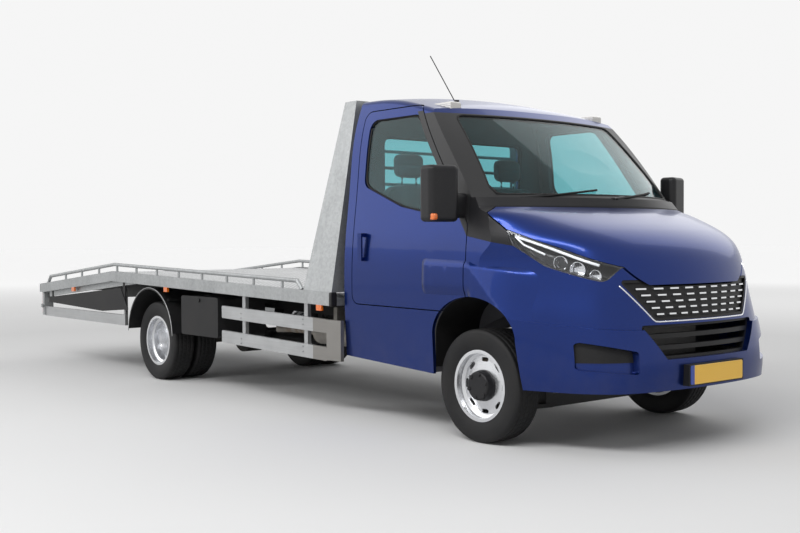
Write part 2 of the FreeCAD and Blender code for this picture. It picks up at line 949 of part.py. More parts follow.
def leaf_springs():
    """Cambered spring packs from eye to eye over the rear axle, as two solids."""
    front, rear = spring_places()
    height = spring_eye_height()
    seat = tyre_radius + axle_tube_radius + axle_spring_seat + seat_gap
    middle = (rail_inner + rail_outer) / 2
    low, high = middle - spring_width / 2, middle + spring_width / 2
    place = lambda x, z: Vector(x, low, z)
    lower = Part.Arc(place(front, height - spring_eye_radius), place(rear_axle, seat),
                     place(rear, height - spring_eye_radius)).toShape()
    upper = Part.Arc(place(rear, height), place(rear_axle, seat + spring_thickness),
                     place(front, height)).toShape()
    ends = [Part.makeLine(lower.Vertexes[-1].Point, upper.Vertexes[0].Point),
            Part.makeLine(upper.Vertexes[-1].Point, lower.Vertexes[0].Point)]
    pack = Part.Face(Part.Wire([lower, ends[0], upper, ends[1]])).extrude(Vector(0, high - low, 0))
    eyes = [rod(place(x, height), place(x, height) + Vector(0, high - low, 0), spring_eye_radius)
            for x in (front, rear)]
    holes = [rod(place(x, height) - Vector(0, overrun, 0), place(x, height) + Vector(0, overrun * 3, 0),
                 spring_pin_radius + running_clearance) for x in (front, rear)]
    return both_sides(joined([pack] + eyes).cut(holes))


def rear_axle_beam():
    """Axle tube with spindles at its ends, spring seats, and a round differential with a nose."""
    hub_side = twin_line - wheel_disc_thickness * 3
    inner_end = twin_line - twin_spacing / 2 - rim_width / 2
    parts = [rod(Vector(rear_axle, -inner_end, tyre_radius), Vector(rear_axle, inner_end, tyre_radius),
                 axle_tube_radius)]
    tip = twin_line + rear_hub_depth - wheel_disc_thickness * 2
    parts.append(rod(Vector(rear_axle, -tip, tyre_radius), Vector(rear_axle, tip, tyre_radius),
                     spindle_radius))
    for side in (1, -1):
        start = Vector(rear_axle, side * inner_end, tyre_radius)
        parts.append(rod(start, Vector(rear_axle, side * hub_side, tyre_radius), hub_radius))
        middle = side * (rail_inner + rail_outer) / 2
        parts.append(block(rear_axle - spring_width, rear_axle + spring_width, middle - spring_width / 2,
                           middle + spring_width / 2, tyre_radius,
                           tyre_radius + axle_tube_radius + axle_spring_seat))
    half = differential_width / 2
    parts.append(rod(Vector(rear_axle, -half, tyre_radius), Vector(rear_axle, half, tyre_radius),
                     differential_radius))
    cone = Part.makeCone(differential_radius - axle_tube_radius, differential_nose_radius,
                         half, Vector(rear_axle, half, tyre_radius), Vector(0, 1, 0))
    parts += [cone, other_side(cone)]
    nose_start = Vector(rear_axle, 0, tyre_radius)
    parts.append(rod(nose_start, nose_start + Vector(differential_radius + differential_nose, 0, 0),
                     differential_nose_radius))
    return joined(parts)


def propshaft():
    """Shaft from the gearbox to the differential's nose, with a joint cup at each end."""
    start = Vector(gearbox_rear - seat_gap, 0, gearbox_bottom + gearbox_height / 2)
    end = Vector(rear_axle + differential_radius + differential_nose + seat_gap, 0, tyre_radius)
    line = (end - start).normalize()
    cup = line * propshaft_joint_length
    front_face = block(start.x, start.x + overrun, -overrun * 2, overrun * 2,
                       start.z - overrun * 2, start.z + overrun * 2)
    rear_face = block(end.x - overrun, end.x, -overrun * 2, overrun * 2,
                      end.z - overrun * 2, end.z + overrun * 2)
    parts = [rod(start - line * overrun / 2, end + line * overrun / 2, propshaft_radius),
             rod(start - line * overrun / 2, start + cup, propshaft_joint_radius),
             rod(end - cup, end + line * overrun / 2, propshaft_joint_radius)]
    return joined(parts).cut([front_face, rear_face])


def engine_block():
    """Engine and gearbox as one plain mass, held on the front crossmember and the rails."""
    half = engine_width / 2
    engine = block(engine_rear, engine_front, -half, half, engine_bottom, engine_top)
    gearbox = block(gearbox_rear, engine_rear, -gearbox_width / 2, gearbox_width / 2,
                    gearbox_bottom, gearbox_bottom + gearbox_height)
    middle = (engine_bottom + rail_front_top) / 2
    mount_x = (engine_front + engine_rear) / 2
    mount = rod(Vector(mount_x, -rail_outer + rail_wall + seat_gap, middle),
                Vector(mount_x, rail_outer - rail_wall - seat_gap, middle), engine_mount_radius)
    return joined([engine, gearbox, mount])


def fuel_tank():
    """Tank outside the left rail, with rounded long edges, hung in two straps."""
    low = rail_outer + seat_gap
    corners = [(low, tank_bottom, tank_corner), (low + tank_width, tank_bottom, tank_corner),
               (low + tank_width, tank_bottom + tank_height, tank_corner),
               (low, tank_bottom + tank_height)]
    body = front_prism(corners, tank_rear, tank_front)
    t = tank_strap_thickness
    outer = [(low, tank_bottom - t, tank_corner + t), (low + tank_width + t, tank_bottom - t,
                                                       tank_corner + t),
             (low + tank_width + t, tank_bottom + tank_height + t, tank_corner + t),
             (low, tank_bottom + tank_height + t)]
    length = tank_front - tank_rear
    straps = []
    for share in (1 / 5, 4 / 5):
        x = tank_rear + length * share
        straps.append(front_prism(outer, x - tank_strap_width / 2, x + tank_strap_width / 2))
    return joined([body] + straps)


def exhaust():
    """Pipe along the right rail into a silencer, and on to an outlet at the side."""
    line = -(rail_outer + silencer_radius + seat_gap)
    start = Vector(silencer_front, line, silencer_height)
    end = start - Vector(silencer_length, 0, 0)
    silencer = rod(start, end, silencer_radius)
    front_pipe = bent_tube([Vector(gearbox_rear / 2, -gearbox_width / 2 - pipe_radius - seat_gap,
                                   gearbox_bottom + pipe_radius),
                            Vector(gearbox_rear, -gearbox_width / 2 - pipe_radius - seat_gap,
                                   gearbox_bottom + pipe_radius),
                            Vector(gearbox_rear - pipe_bend, line, gearbox_bottom + pipe_radius),
                            Vector(silencer_front + pipe_bend, line, silencer_height),
                            start - Vector(pipe_bend, 0, 0)], pipe_radius)
    tail_pipe = bent_tube([end + Vector(pipe_bend, 0, 0), end - Vector(pipe_outlet, 0, 0),
                           end - Vector(pipe_outlet + pipe_bend, pipe_bend, 0)], pipe_radius)
    bore = rod(end - Vector(pipe_outlet + pipe_bend, pipe_bend, 0),
               end - Vector(pipe_outlet, 0, 0), pipe_radius - rail_wall)
    strap = block(end.x + silencer_length / 3, end.x + silencer_length / 3 + tank_strap_width,
                  line - silencer_radius / 2, -rail_outer - seat_gap,
                  silencer_height, rail_top(end.x) - rail_height / 2)
    return joined([silencer, front_pipe, tail_pipe, strap]).cut(bore)


# Cab surfaces

nose_rows = [
    (nose_bottom_height, nose_foot_reach), (bumper_height, bumper_reach),
    (grille_foot_height, grille_foot_reach), (grille_head_height, grille_head_reach),
    (badge_height, badge_reach), (brow_height, brow_reach),
    (bonnet_middle_height, bonnet_middle_reach), (bonnet_rear_height, bonnet_rear_reach),
    (cowl_height, cowl_reach)]
nose_sweep_shares = [0.155, 0.16, 0.215, 0.245, 0.255, 0.24, 0.235, 0.235, 0.23]
nose_wrap_shares = [0.56, 0.50, 0.42, 0.56, 0.66, 0.48, 0.38, 0.17, 0.10]
grid_columns = 24
nose_row_count = 15
side_reach_share = 1.04
screen_inset_share = 0.71


def grid_face(rows):
    """Smooth face through rows of points."""
    surface = Part.BSplineSurface()
    surface.interpolate(rows)
    return surface.toShape()


def drawn_in(tool, inset, back_share, down_share):
    """A tool moved back and down by shares of an inset, which leaves a wall behind its surface."""
    return moved(tool, -inset * back_share, 0, -inset * down_share)


def columns():
    """Shares of the half width from the right side to the left, evenly spaced."""
    return [side_reach_share * (2 * index / grid_columns - 1) for index in range(grid_columns + 1)]


def graded(shares, height):
    """A share of the nose at a height, in straight steps between the heights of the rows."""
    for index in range(len(nose_rows) - 1):
        if height <= nose_rows[index + 1][0]:
            break
    low, high = nose_rows[index][0], nose_rows[index + 1][0]
    return shares[index] + (shares[index + 1] - shares[index]) * (height - low) / (high - low)


@functools.lru_cache(maxsize=None)
def nose_tool():
    """Everything ahead of the nose: each level line has its reach less a square and an eighth power."""
    half = cab_width / 2
    middle = Part.BSplineCurve()
    middle.interpolate([Vector(row[1], 0, row[0]) for row in nose_rows])
    rows = []
    for spot in middle.discretize(nose_row_count):
        sweep = graded(nose_sweep_shares, spot.z)
        wrap = graded(nose_wrap_shares, spot.z)
        rows.append([Vector(spot.x - half * (sweep * s ** 2 + wrap * s ** 8), half * s, spot.z)
                     for s in columns()])
    return grid_face(rows).extrude(Vector(front_overhang * 2, 0, 0))


@functools.lru_cache(maxsize=None)
def cowl_tool():
    """Everything ahead of the steep band between the bonnet's rear edge and the windscreen."""
    half = cab_width / 2
    sweep, wrap = nose_sweep_shares[-1], nose_wrap_shares[-1]
    low, high = Part.BSplineCurve(), Part.BSplineCurve()
    low.interpolate([Vector(cowl_reach - half * (sweep * s ** 2 + wrap * s ** 8), half * s,
                            cowl_height - seat_gap) for s in columns()])
    high.interpolate([Vector(screen_base_reach - screen_base_sweep * s ** 2, half * s, cowl_tool_height)
                      for s in columns()])
    band = Part.makeRuledSurface(low.toShape(), high.toShape())
    return band.extrude(Vector(front_overhang * 2, 0, 0))


def screen_rows():
    """Level lines of the windscreen's surface, each a parabola in plan, with a slight bulge."""
    half = cab_width / 2
    rise = screen_head_height - screen_base_height
    rows = []
    for share in (0, 1 / 4, 1 / 2, 3 / 4, 1, 3 / 2):
        reach = screen_base_reach + (screen_head_reach - screen_base_reach) * share
        reach += screen_bulge * 4 * share * (1 - share)
        sweep = screen_base_sweep + (screen_head_sweep - screen_base_sweep) * min(share, 1)
        rows.append([Vector(reach - sweep * s ** 2, half * s, screen_base_height + rise * share)
                     for s in columns()])
    return rows


@functools.lru_cache(maxsize=None)
def screen_tool():
    """Everything ahead of the windscreen's surface."""
    return grid_face(screen_rows()).extrude(Vector(front_overhang * 3, 0, 0))


@functools.lru_cache(maxsize=None)
def roof_tool():
    """Everything above the crowned roof, which falls towards the windscreen."""
    half = cab_width / 2
    middle = (cab_rear + roof_front) / 2
    keys = [Vector(cab_rear, 0, roof_rear_height), Vector(middle, 0, roof_middle_height),
            Vector(roof_front, 0, roof_front_height)]
    arc = Part.BSplineCurve()
    arc.interpolate(keys)
    slope = arc.tangent(arc.LastParameter)[0]
    points = [arc.value(arc.FirstParameter + (arc.LastParameter - arc.FirstParameter) * share)
              for share in (0, 1 / 4, 1 / 2, 3 / 4, 1)]
    points = [points[0] - Vector(overrun, 0, 0)] + points + [points[-1] + slope * front_overhang]
    rows = []
    for spot in points:
        rows.append([Vector(spot.x, half * s, spot.z - roof_crown * s ** 2) for s in columns()])
    return grid_face(rows).extrude(Vector(0, 0, roof_rear_height))


@functools.lru_cache(maxsize=None)
def cab_section(inset):
    """Cross-section of the cab carried along x: sides that lean in above the waist."""
    half = cab_width / 2 - inset
    keys = [(sill_half_width - inset, cab_foot_height), (half, cab_floor),
            (half, waist_height), (shoulder_half_width - inset, shoulder_height),
            (glass_waist_half_width - inset, glass_waist_height),
            (head_half_width - inset, head_height),
            (gutter_half_width - inset, gutter_height),
            (gutter_half_width - inset - cab_wall, roof_rear_height + overrun)]
    curve = Part.BSplineCurve()
    curve.interpolate([Vector(cab_rear, y, z) for y, z in keys])
    left = curve.toShape()
    right = left.mirror(Vector(0, 0, 0), Vector(0, 1, 0))
    foot, head = curve.value(curve.FirstParameter), curve.value(curve.LastParameter)
    flip = lambda spot: Vector(spot.x, -spot.y, spot.z)
    edges = [left, Part.makeLine(head, flip(head)), right, Part.makeLine(flip(foot), foot)]
    wire = Part.Wire(Part.__sortEdges__(edges))
    return Part.Face(wire).extrude(Vector(front_overhang + overrun - cab_rear, 0, 0))


@functools.lru_cache(maxsize=None)
def cab_core(inset):
    """The cab's form drawn in by a wall all round, without the roof's rounded edges."""
    core = cab_section(inset)
    for tool, back_share, down_share in (
            (nose_tool(), 1, 1), (cowl_tool(), 1, 1),
            (screen_tool(), screen_inset_share, screen_inset_share), (roof_tool(), 0, 1)):
        core = core.cut(drawn_in(tool, inset, back_share, down_share))
    return core


@functools.lru_cache(maxsize=None)
def side_line():
    """The cab's half width at a height, as straight steps between points of its section."""
    face = min(cab_section(0).Faces, key=lambda face: face.BoundBox.XLength)
    spots = [spot for edge in face.Edges for spot in edge.discretize(swell_row_count * 8) if spot.y > 0]
    return sorted((spot.z, spot.y) for spot in spots if spot.z > cab_foot_height)


def stepped(table, value):
    """Value between the entries of a sorted table of pairs, in straight steps."""
    for (low, first), (high, second) in zip(table, table[1:]):
        if value <= high:
            break
    return first + (second - first) * min(max((value - low) / (high - low), 0), 1)


def eased(share):
    """A share from 0 to 1 that starts and ends level."""
    share = min(max(share, 0), 1)
    return share * share * (3 - 2 * share)


def nose_half(x, z, middle):
    """Half width of the nose's surface at a place ahead of the front axle."""
    half = cab_width / 2
    sweep, wrap = graded(nose_sweep_shares, z), graded(nose_wrap_shares, z)
    low, high = 0, side_reach_share
    for step in range(swell_row_count):
        share = (low + high) / 2
        if stepped(middle, z) - half * (sweep * share ** 2 + wrap * share ** 8) > x:
            low = share
        else:
            high = share
    return half * low


@functools.lru_cache(maxsize=None)
def swelling():
    """Solid over the left front wheel arch, whose skin leaves the cab's side along a crease."""
    crease = [(swell_rear_x, swell_rear_height), (swell_middle_x, swell_middle_height),
              (swell_front_x, swell_front_height), (swell_tip_x, swell_tip_height)]
    curve = Part.BSplineCurve()
    curve.interpolate([Vector(row[1], 0, row[0]) for row in nose_rows])
    middle = sorted((spot.z, spot.x) for spot in curve.discretize(nose_row_count * 8))
    side = side_line()
    rows = []
    for index in range(swell_columns + 1):
        x = swell_rear_x - swell_rear_run + (swell_tip_x - swell_rear_x + swell_rear_run * 2) * index / swell_columns
        top = stepped(crease, x) + swell_slope
        ends = eased((x - swell_rear_x) / swell_rear_run) * eased((swell_tip_x - x) / (swell_tip_x - swell_front_x))
        row = []
        for step in range(swell_row_count + 1):
            z = swell_low_height + (top - swell_low_height) * step / swell_row_count
            rise = eased((top - z) / swell_slope)
            if x < 0:
                rise *= eased((z - swell_fade_foot) / (swell_fade_head - swell_fade_foot))
            base = min(stepped(side, z), nose_half(x, z, middle))
            row.append(Vector(x, base - swell_sink + (swell_depth + swell_sink) * ends * rise, z))
        rows.append(row)
    return grid_face(rows).extrude(Vector(0, -swell_solid_depth, 0))


@functools.lru_cache(maxsize=None)
def cab_outer():
    """The cab's whole outer form, with its roof's side edges rounded and its sides swollen."""
    return rounded_cab().fuse([swelling(), other_side(swelling())])


@functools.lru_cache(maxsize=None)
def rounded_cab():
    """The cab's form with its roof's side edges rounded."""
    raw = cab_core(0)
    edges = []
    for edge in raw.Edges:
        middle = edge.valueAt((edge.FirstParameter + edge.LastParameter) / 2)
        if middle.z > head_height and abs(middle.y) > screen_opening_head_half and middle.x < roof_front:
            if edge.BoundBox.XLength > roof_lamp_length:
                edges.append(edge)
    return raw.makeFillet(roof_round, edges)


def sill_bottom(x):
    """Height of the cab's lower edge, which rises towards the rear."""
    share = (x - cab_rear) / (-arch_half_length - cab_rear)
    return sill_bottom_rear + (sill_bottom_front - sill_bottom_rear) * share


def arch_prism(grow, low, high):
    """The wheel arch as a solid from y = low to y = high: an ellipse on straight feet."""
    long = arch_half_length + grow
    rise = arch_top + grow - arch_waist
    place = lambda x, z: Vector(x, low, z)
    foot = nose_bottom_height - overrun
    top = Part.BSplineCurve()
    top.interpolate([place(-long * math.cos(math.pi * share), arch_waist + rise * math.sin(math.pi * share))
                     for share in [index / 12 for index in range(13)]])
    arc = top.toShape()
    spots = [place(long, arch_waist), place(arch_front_foot + grow, foot),
             place(-long, foot), place(-long, arch_waist)]
    edges = [arc] + [Part.makeLine(a, b) for a, b in zip(spots, spots[1:])]
    return Part.Face(Part.Wire(edges)).extrude(Vector(0, high - low, 0))


# Cab pieces

def front_region(corners, low=-1, high=1, grow=0):
    """A side outline carried right across the cab, or across the named shares of its half width."""
    reach = cab_width / 2 + overrun
    return side_prism(corners, low * reach, high * reach, grow)


@functools.lru_cache(maxsize=None)
def nose_shell(wall):
    """The nose's skin, with the given wall, from the door's front edge to the bumper."""
    zone = front_region([(door_front + panel_gap, cab_foot_height - overrun),
                         (front_overhang + overrun, cab_foot_height - overrun),
                         (front_overhang + overrun, screen_base_height),
                         (door_front + panel_gap, screen_base_height)])
    return cab_outer().common(zone).cut(cab_core(wall))


@functools.lru_cache(maxsize=None)
def arch_space():
    """What the wheel arches take from the cab: the lip's outline outside, the liner's inside."""
    reach = cab_width / 2 + overrun
    lip = arch_prism(0, liner_outer - overrun, reach)
    inner = arch_prism(liner_inset + liner_wall + seat_gap, liner_inner - seat_gap, liner_outer + seat_gap)
    space = lip.fuse(inner)
    return Part.makeCompound([space, other_side(space)])


@functools.lru_cache(maxsize=None)
def cabin_space():
    """The room inside the cab: flat floor, toe board, firewall, and walls drawn in all round."""
    zone = front_region([
        (cab_rear + cab_wall, cab_floor), (cab_toe_start, cab_floor), (firewall, cab_toe_height),
        (firewall, scuttle_top), (screen_base_reach, scuttle_top),
        (screen_base_reach, roof_rear_height), (cab_rear + cab_wall, roof_rear_height)])
    reach = cab_width / 2 + overrun
    bump = arch_prism(liner_inset + liner_wall + cab_wall, liner_inner - cab_wall, reach)
    return cab_core(cab_wall).common(zone).cut([bump, other_side(bump)])


def door_corners():
    """Side outline of a door."""
    return [
        (door_rear, door_bottom_rear, door_corner), (door_front, door_bottom_front),
        (door_front, door_pillar_foot, door_corner), (door_head_front, door_head_rear, door_corner),
        (door_rear, door_head_rear, door_corner)]


def door_prism(grow):
    """A door's outline carried through the left wall."""
    return side_prism(door_corners(), door_inner_line, cab_width / 2 + overrun, grow)


def window_prism(grow):
    """The side window's outline carried through the left wall: it dips towards the mirror."""
    return side_prism([
        (window_rear, window_rear_foot, window_corner), (window_sag_x, window_sag_height, window_corner),
        (window_foot_front, window_foot_height, window_corner / 2),
        (window_head_front, window_head, window_corner / 2),
        (window_rear, window_head, window_corner)], door_inner_line, cab_width / 2 + overrun, grow)


def screen_prism(grow):
    """The windscreen's opening, seen from the front."""
    return front_prism([
        (-screen_opening_base_half, screen_opening_base, screen_corner),
        (screen_opening_base_half, screen_opening_base, screen_corner),
        (screen_opening_head_half, screen_opening_head, screen_corner),
        (-screen_opening_head_half, screen_opening_head, screen_corner)],
        roof_front * 2, front_overhang, grow)


def rear_window_prism(low, high, grow):
    """The window in the cab's rear wall."""
    return front_prism([
        (-rear_window_half, rear_window_bottom, rear_window_corner),
        (rear_window_half, rear_window_bottom, rear_window_corner),
        (rear_window_half, rear_window_top, rear_window_corner),
        (-rear_window_half, rear_window_top, rear_window_corner)], low, high, grow)


@functools.lru_cache(maxsize=None)
def cab_shell():
    """Floor, sills, rear wall, pillars, roof, firewall and scuttle, in one hollow body."""
    reach = cab_width / 2 + overrun
    low = cab_foot_height - overrun
    bay = block(firewall + cab_wall, front_overhang + overrun * 2, -reach, reach, low, scuttle_bottom)
    toe_slope = (cab_toe_height - cab_floor) / (firewall - cab_toe_start)
    front = firewall + cab_wall + overrun
    tunnel = side_prism([
        (cab_rear - overrun, low), (front, low),
        (front, cab_floor - floor_wall + toe_slope * (front - cab_toe_start)),
        (cab_toe_start, cab_floor - floor_wall), (cab_rear - overrun, cab_floor - floor_wall)],
        -sill_inner, sill_inner)
    slope = side_prism([
        (cab_rear - overrun, low), (firewall + cab_wall + overrun, low),
        (firewall + cab_wall + overrun, sill_bottom(firewall + cab_wall + overrun)),
        (cab_rear - overrun, sill_bottom(cab_rear - overrun))], -reach, reach)
    body = cab_outer().cut([nose_shell(nose_skin), bay, tunnel, slope])
    body = body.cut(cabin_space())
    body = body.cut(arch_space())
    doorway = door_prism(panel_gap)
    rear = rear_window_prism(cab_rear - overrun, cab_rear + cab_wall + overrun, 0)
    body = body.cut([doorway, other_side(doorway), screen_prism(0), rear])
    return max(body.Solids, key=lambda solid: solid.Volume)


def bonnet_line():
    """Side view of the joint below the bonnet, from its rear corner to the front lip."""
    return [(bonnet_side_x, bonnet_side_height), (lamp_tail_x, lamp_tail_height),
            (lamp_crest_x, lamp_crest_height), (lamp_nose_x, lamp_nose_height),
            (bonnet_lip_x, bonnet_lip_height), (front_overhang + overrun, bonnet_lip_height)]


def bonnet_region(grow):
    """Side view of everything that opens with the bonnet."""
    top = [(front_overhang + overrun, cowl_height), (bonnet_side_x, cowl_height)]
    return front_region(bonnet_line() + top, grow=grow)


def behind_bonnet(shift):
    """Everything behind the bonnet's rear edge in plan, with that edge moved ahead by a shift."""
    half = cab_width / 2
    sweep, wrap = nose_sweep_shares[-1], nose_wrap_shares[-1]
    line = Part.BSplineCurve()
    line.interpolate([Vector(cowl_reach + shift - half * (sweep * s ** 2 + wrap * s ** 8), half * s, cab_floor)
                      for s in columns()])
    return line.toShape().extrude(Vector(cab_rear, 0, 0)).extrude(Vector(0, 0, screen_head_height))


def bonnet():
    """The bonnet's skin, with an upright rear edge that swings up clear of the cowl."""
    skin = nose_shell(nose_skin).common(bonnet_region(-panel_gap / 2))
    return skin.cut(behind_bonnet(panel_gap / 2))


def cowl():
    """Black band before the windscreen, with a panel down each side to the headlamp's tail."""
    return joined([cowl_band()] + side_panels())


def cowl_band():
    """The band between the bonnet's rear edge and the windscreen."""
    reach = cab_width / 2 + overrun
    zone = block(door_front + panel_gap, front_overhang, -reach, reach,
                 bonnet_side_height, screen_base_height)
    zone = zone.common(behind_bonnet(-panel_gap / 2))
    return nose_shell(nose_skin).common(zone)


def side_panel_corners():
    """Side view of the black panel between the mirror, the bonnet and the headlamp's tail."""
    return [(door_front, door_mirror_foot), (lamp_heel_x, lamp_heel_height),
            (lamp_tail_x, lamp_tail_height), (bonnet_side_x, bonnet_side_height),
            (bonnet_side_x, cowl_height), (door_front, cowl_height)]


def side_panels():
    """Black panels ahead of the mirrors."""
    zone = front_region(side_panel_corners())
    skin = nose_shell(nose_skin).common(zone).cut(bonnet_region(panel_gap / 2))
    return [max_solid(skin, 1), max_solid(skin, -1)]


def max_solid(shape, side):
    """The largest solid of a shape on one side of the middle plane."""
    return max([solid for solid in shape.Solids if solid.CenterOfMass.y * side > 0],
               key=lambda solid: solid.Volume)


def lamp_corners():
    """Side view of a headlamp, swept back to a point."""
    return [(lamp_tail_x, lamp_tail_height), (lamp_crest_x, lamp_crest_height),
            (lamp_nose_x, lamp_nose_height), (lamp_chin_x, lamp_chin_height, lamp_corner),
            (lamp_belly_x, lamp_belly_height, lamp_corner), (lamp_heel_x, lamp_heel_height)]


def lamp_prism(grow):
    """The left headlamp's outline, carried through the nose's corner."""
    return side_prism(lamp_corners(), lamp_inner_line, cab_width / 2 + overrun, grow)


def headlamp_lenses():
    """Clear covers in the form of the nose."""
    lens = cab_outer().common(lamp_prism(-seat_gap)).cut(cab_core(lamp_glass))
    return both_sides(lens.Solids[0])


def headlamp_housings():
    """Dark housings behind the covers, open to the front."""
    body = cab_core(lamp_glass + seat_gap).common(lamp_prism(-seat_gap)).cut(cab_core(lamp_depth))
    pocket = cab_core(0).common(lamp_prism(-lamp_wall)).cut(cab_core(lamp_depth - lamp_wall))
    body = body.cut(pocket)
    return both_sides(max(body.Solids, key=lambda solid: solid.Volume))


def grille_corners():
    """Front view of the grille: a flat-bottomed wedge."""
    return [(-grille_half_foot, grille_foot, grille_corner), (grille_half_foot, grille_foot, grille_corner),
            (grille_half_head, grille_head, grille_corner), (-grille_half_head, grille_head, grille_corner)]


def grille_prism(grow):
    """The grille's outline carried through the nose."""
    return front_prism(grille_corners(), grille_rear_x, front_overhang + overrun, grow)


def bumper_line():
    """Side view of the joint between the fenders and the bumper."""
    return [(bumper_line_x, bumper_top_rear), (front_overhang + overrun, bumper_top_front)]


def fenders():
    """The painted panels round the lamps and the grille, over both wheel arches."""
    reach = cab_width / 2 + overrun
    skin = nose_shell(nose_skin).cut([bonnet_region(panel_gap / 2), front_region(side_panel_corners())])
    above_cowl = block(door_front, front_overhang, -reach, reach, cowl_height - overrun, screen_base_height)
    low = cab_foot_height - overrun
    below = front_region(bumper_line() + [(front_overhang + overrun, low), (bumper_line_x, low)])
    rear_low = block(door_front, bumper_line_x + overrun, -reach, reach, low, bumper_top_rear)
    lamp = lamp_prism(0)
    skin = skin.cut([above_cowl, below, rear_low, lamp, other_side(lamp), grille_prism(0),
                     intake_prism(0), arch_space()])
    return max(skin.Solids, key=lambda solid: solid.Volume)


def fog_prism(grow, low, high):
    """Front view of the dark recess beside the intake, on the left."""
    return front_prism([
        (fog_recess_inner, fog_recess_foot, fog_recess_corner),
        (fog_recess_outer, fog_recess_foot + fog_recess_rise, fog_recess_corner),
        (fog_recess_outer, fog_recess_head + fog_recess_rise, fog_recess_corner),
        (fog_recess_inner, fog_recess_head - fog_recess_rise, fog_recess_corner)], low, high, grow)


def intake_prism(grow):
    """Front view of the intake in the middle of the bumper."""
    return front_prism([
        (-intake_half_foot, intake_foot, grille_corner), (intake_half_foot, intake_foot, grille_corner),
        (intake_half_head, intake_head, grille_corner), (-intake_half_head, intake_head, grille_corner)],
        grille_rear_x, front_overhang + overrun, grow)


def bumper():
    """The painted bumper, with its intake and two dark recesses."""
    reach = cab_width / 2 + overrun
    zone = front_region(bumper_line() + [(front_overhang + overrun, bumper_bottom),
                                         (bumper_line_x, bumper_bottom)])
    skin = cab_core(-bumper_ledge).common(zone).cut(cab_core(bumper_wall))
    skin = skin.cut(block(cab_rear - overrun, door_front + panel_gap, -reach, reach, 0, screen_base_height))
    fog = fog_prism(0, bumper_line_x, front_overhang + overrun).cut(cab_core(fog_recess_depth))
    skin = skin.cut([intake_prism(0), fog, other_side(fog), arch_space()])
    return max(skin.Solids, key=lambda solid: solid.Volume)


def fog_covers():
    """Black blanks at the bottom of the bumper's recesses."""
    body = fog_prism(-seat_gap, bumper_line_x, front_overhang + overrun)
    reach = cab_width
    body = body.cut(block(bumper_line_x - overrun, front_overhang + overrun * 2, -reach, reach, 0,
                          fog_recess_foot + (fog_recess_head - fog_recess_foot) * fog_tray_share))
    layer = cab_core(fog_cover_depth).common(body).cut(cab_core(fog_recess_depth - seat_gap))
    return both_sides(max(layer.Solids, key=lambda solid: solid.Volume))


def layer_between(outer_inset, inner_inset, zone):
    """The slice of a zone that lies between two depths below the nose's surface."""
    return cab_core(outer_inset).common(zone).cut(cab_core(inner_inset))


def lower_grille():
    """Black frame and slats in the bumper's intake."""
    reach = cab_width / 2
    zone = intake_prism(-seat_gap)
    back = layer_between(grille_bar_depth + grille_recess, bumper_wall, zone)
    pitch = (intake_head - intake_foot) / (intake_slat_count + 1)
    window = intake_prism(-grille_rim)
    bars = [block(0, front_overhang + overrun, -reach, reach,
                  intake_foot + pitch * index - intake_slat_height / 2,
                  intake_foot + pitch * index + intake_slat_height / 2)
            for index in range(1, intake_slat_count + 1)]
    return back.cut(window.cut(bars))


def plate_carrier():
    """Black carrier for a number plate, on the bumper's front."""
    body = block(nose_foot_reach - overrun, plate_mount_reach, -plate_mount_width / 2, plate_mount_width / 2,
                 plate_mount_middle - plate_mount_height / 2, plate_mount_middle + plate_mount_height / 2)
    return body.cut(cab_core(-bumper_ledge))


def bumper_trim():
    """Black pieces of the bumper: the intake's slats, the blanks and the plate's carrier."""
    return Part.makeCompound([lower_grille(), fog_covers(), plate_carrier()])


def grille():
    """Black grille: a frame and backing, with level ribs."""
    zone = grille_prism(-seat_gap).cut(bonnet_region(panel_gap))
    window = grille_prism(-grille_rim)
    back = layer_between(grille_recess + grille_bar_depth, grille_depth, zone)
    rim = layer_between(grille_recess, grille_depth, zone.cut(window))
    return joined([rim, back])


def grille_dashes():
    """Rows of bright dashes on the grille."""
    pitch = (grille_head - grille_rim - grille_foot) / (grille_rows + 1)
    parts = []
    for row in range(grille_rows):
        height = grille_foot + pitch * (row + 1)
        share = (height - grille_foot) / (grille_head - grille_foot)
        half = grille_half_foot + (grille_half_head - grille_half_foot) * share - grille_rim * 2
        step = half * 2 / grille_bar_count
        for index in range(grille_bar_count):
            start = -half + step * (index + (1 - grille_bar_share) / 2)
            parts.append(block(firewall, front_overhang + overrun, start, start + step * grille_bar_share,
                               height - grille_bar_height / 2, height + grille_bar_height / 2))
    bars = Part.makeCompound(parts).cut(bonnet_region(panel_gap))
    return layer_between(grille_recess, grille_recess + grille_bar_depth, bars)


def arch_liners():
    """Thin black liners inside the front wheel arches."""
    outside = arch_prism(liner_inset + liner_wall, liner_inner, liner_outer)
    liner = outside.cut(arch_prism(liner_inset, liner_inner - overrun, liner_outer + overrun))
    reach = cab_width
    liner = liner.cut(block(-reach, reach, liner_inner - overrun, liner_outer + overrun, 0, liner_foot))
    return both_sides(max(liner.Solids, key=lambda solid: solid.Volume))


def cab_glass():
    """Windscreen and rear window."""
    screen = layer_between(glass_inset, glass_inset + screen_glass, screen_prism(-seat_gap))
    start = cab_rear + cab_wall / 2
    rear = rear_window_prism(start, start + screen_glass, -seat_gap)
    return Part.makeCompound([screen.Solids[0], rear])


def left_door():
    """A door: skin, inner panel, window frame and grip in one, as thick as the cab's wall."""
    skin = cab_outer().common(door_prism(0)).cut(cab_core(cab_wall))
    skin = skin.cut([window_prism(0), arch_prism(0, door_inner_line - overrun, cab_width)])
    inner = arch_prism(liner_inset + liner_wall + door_arch_gap, door_inner_line - overrun,
                       liner_outer + door_arch_gap)
    skin = skin.cut(inner)
    return joined([max(skin.Solids, key=lambda solid: solid.Volume), left_handle()])


def left_door_glass():
    """A side window, set into its door's frame."""
    zone = window_prism(-seat_gap)
    return layer_between(door_glass_inset, door_glass_inset + door_glass, zone).Solids[0]


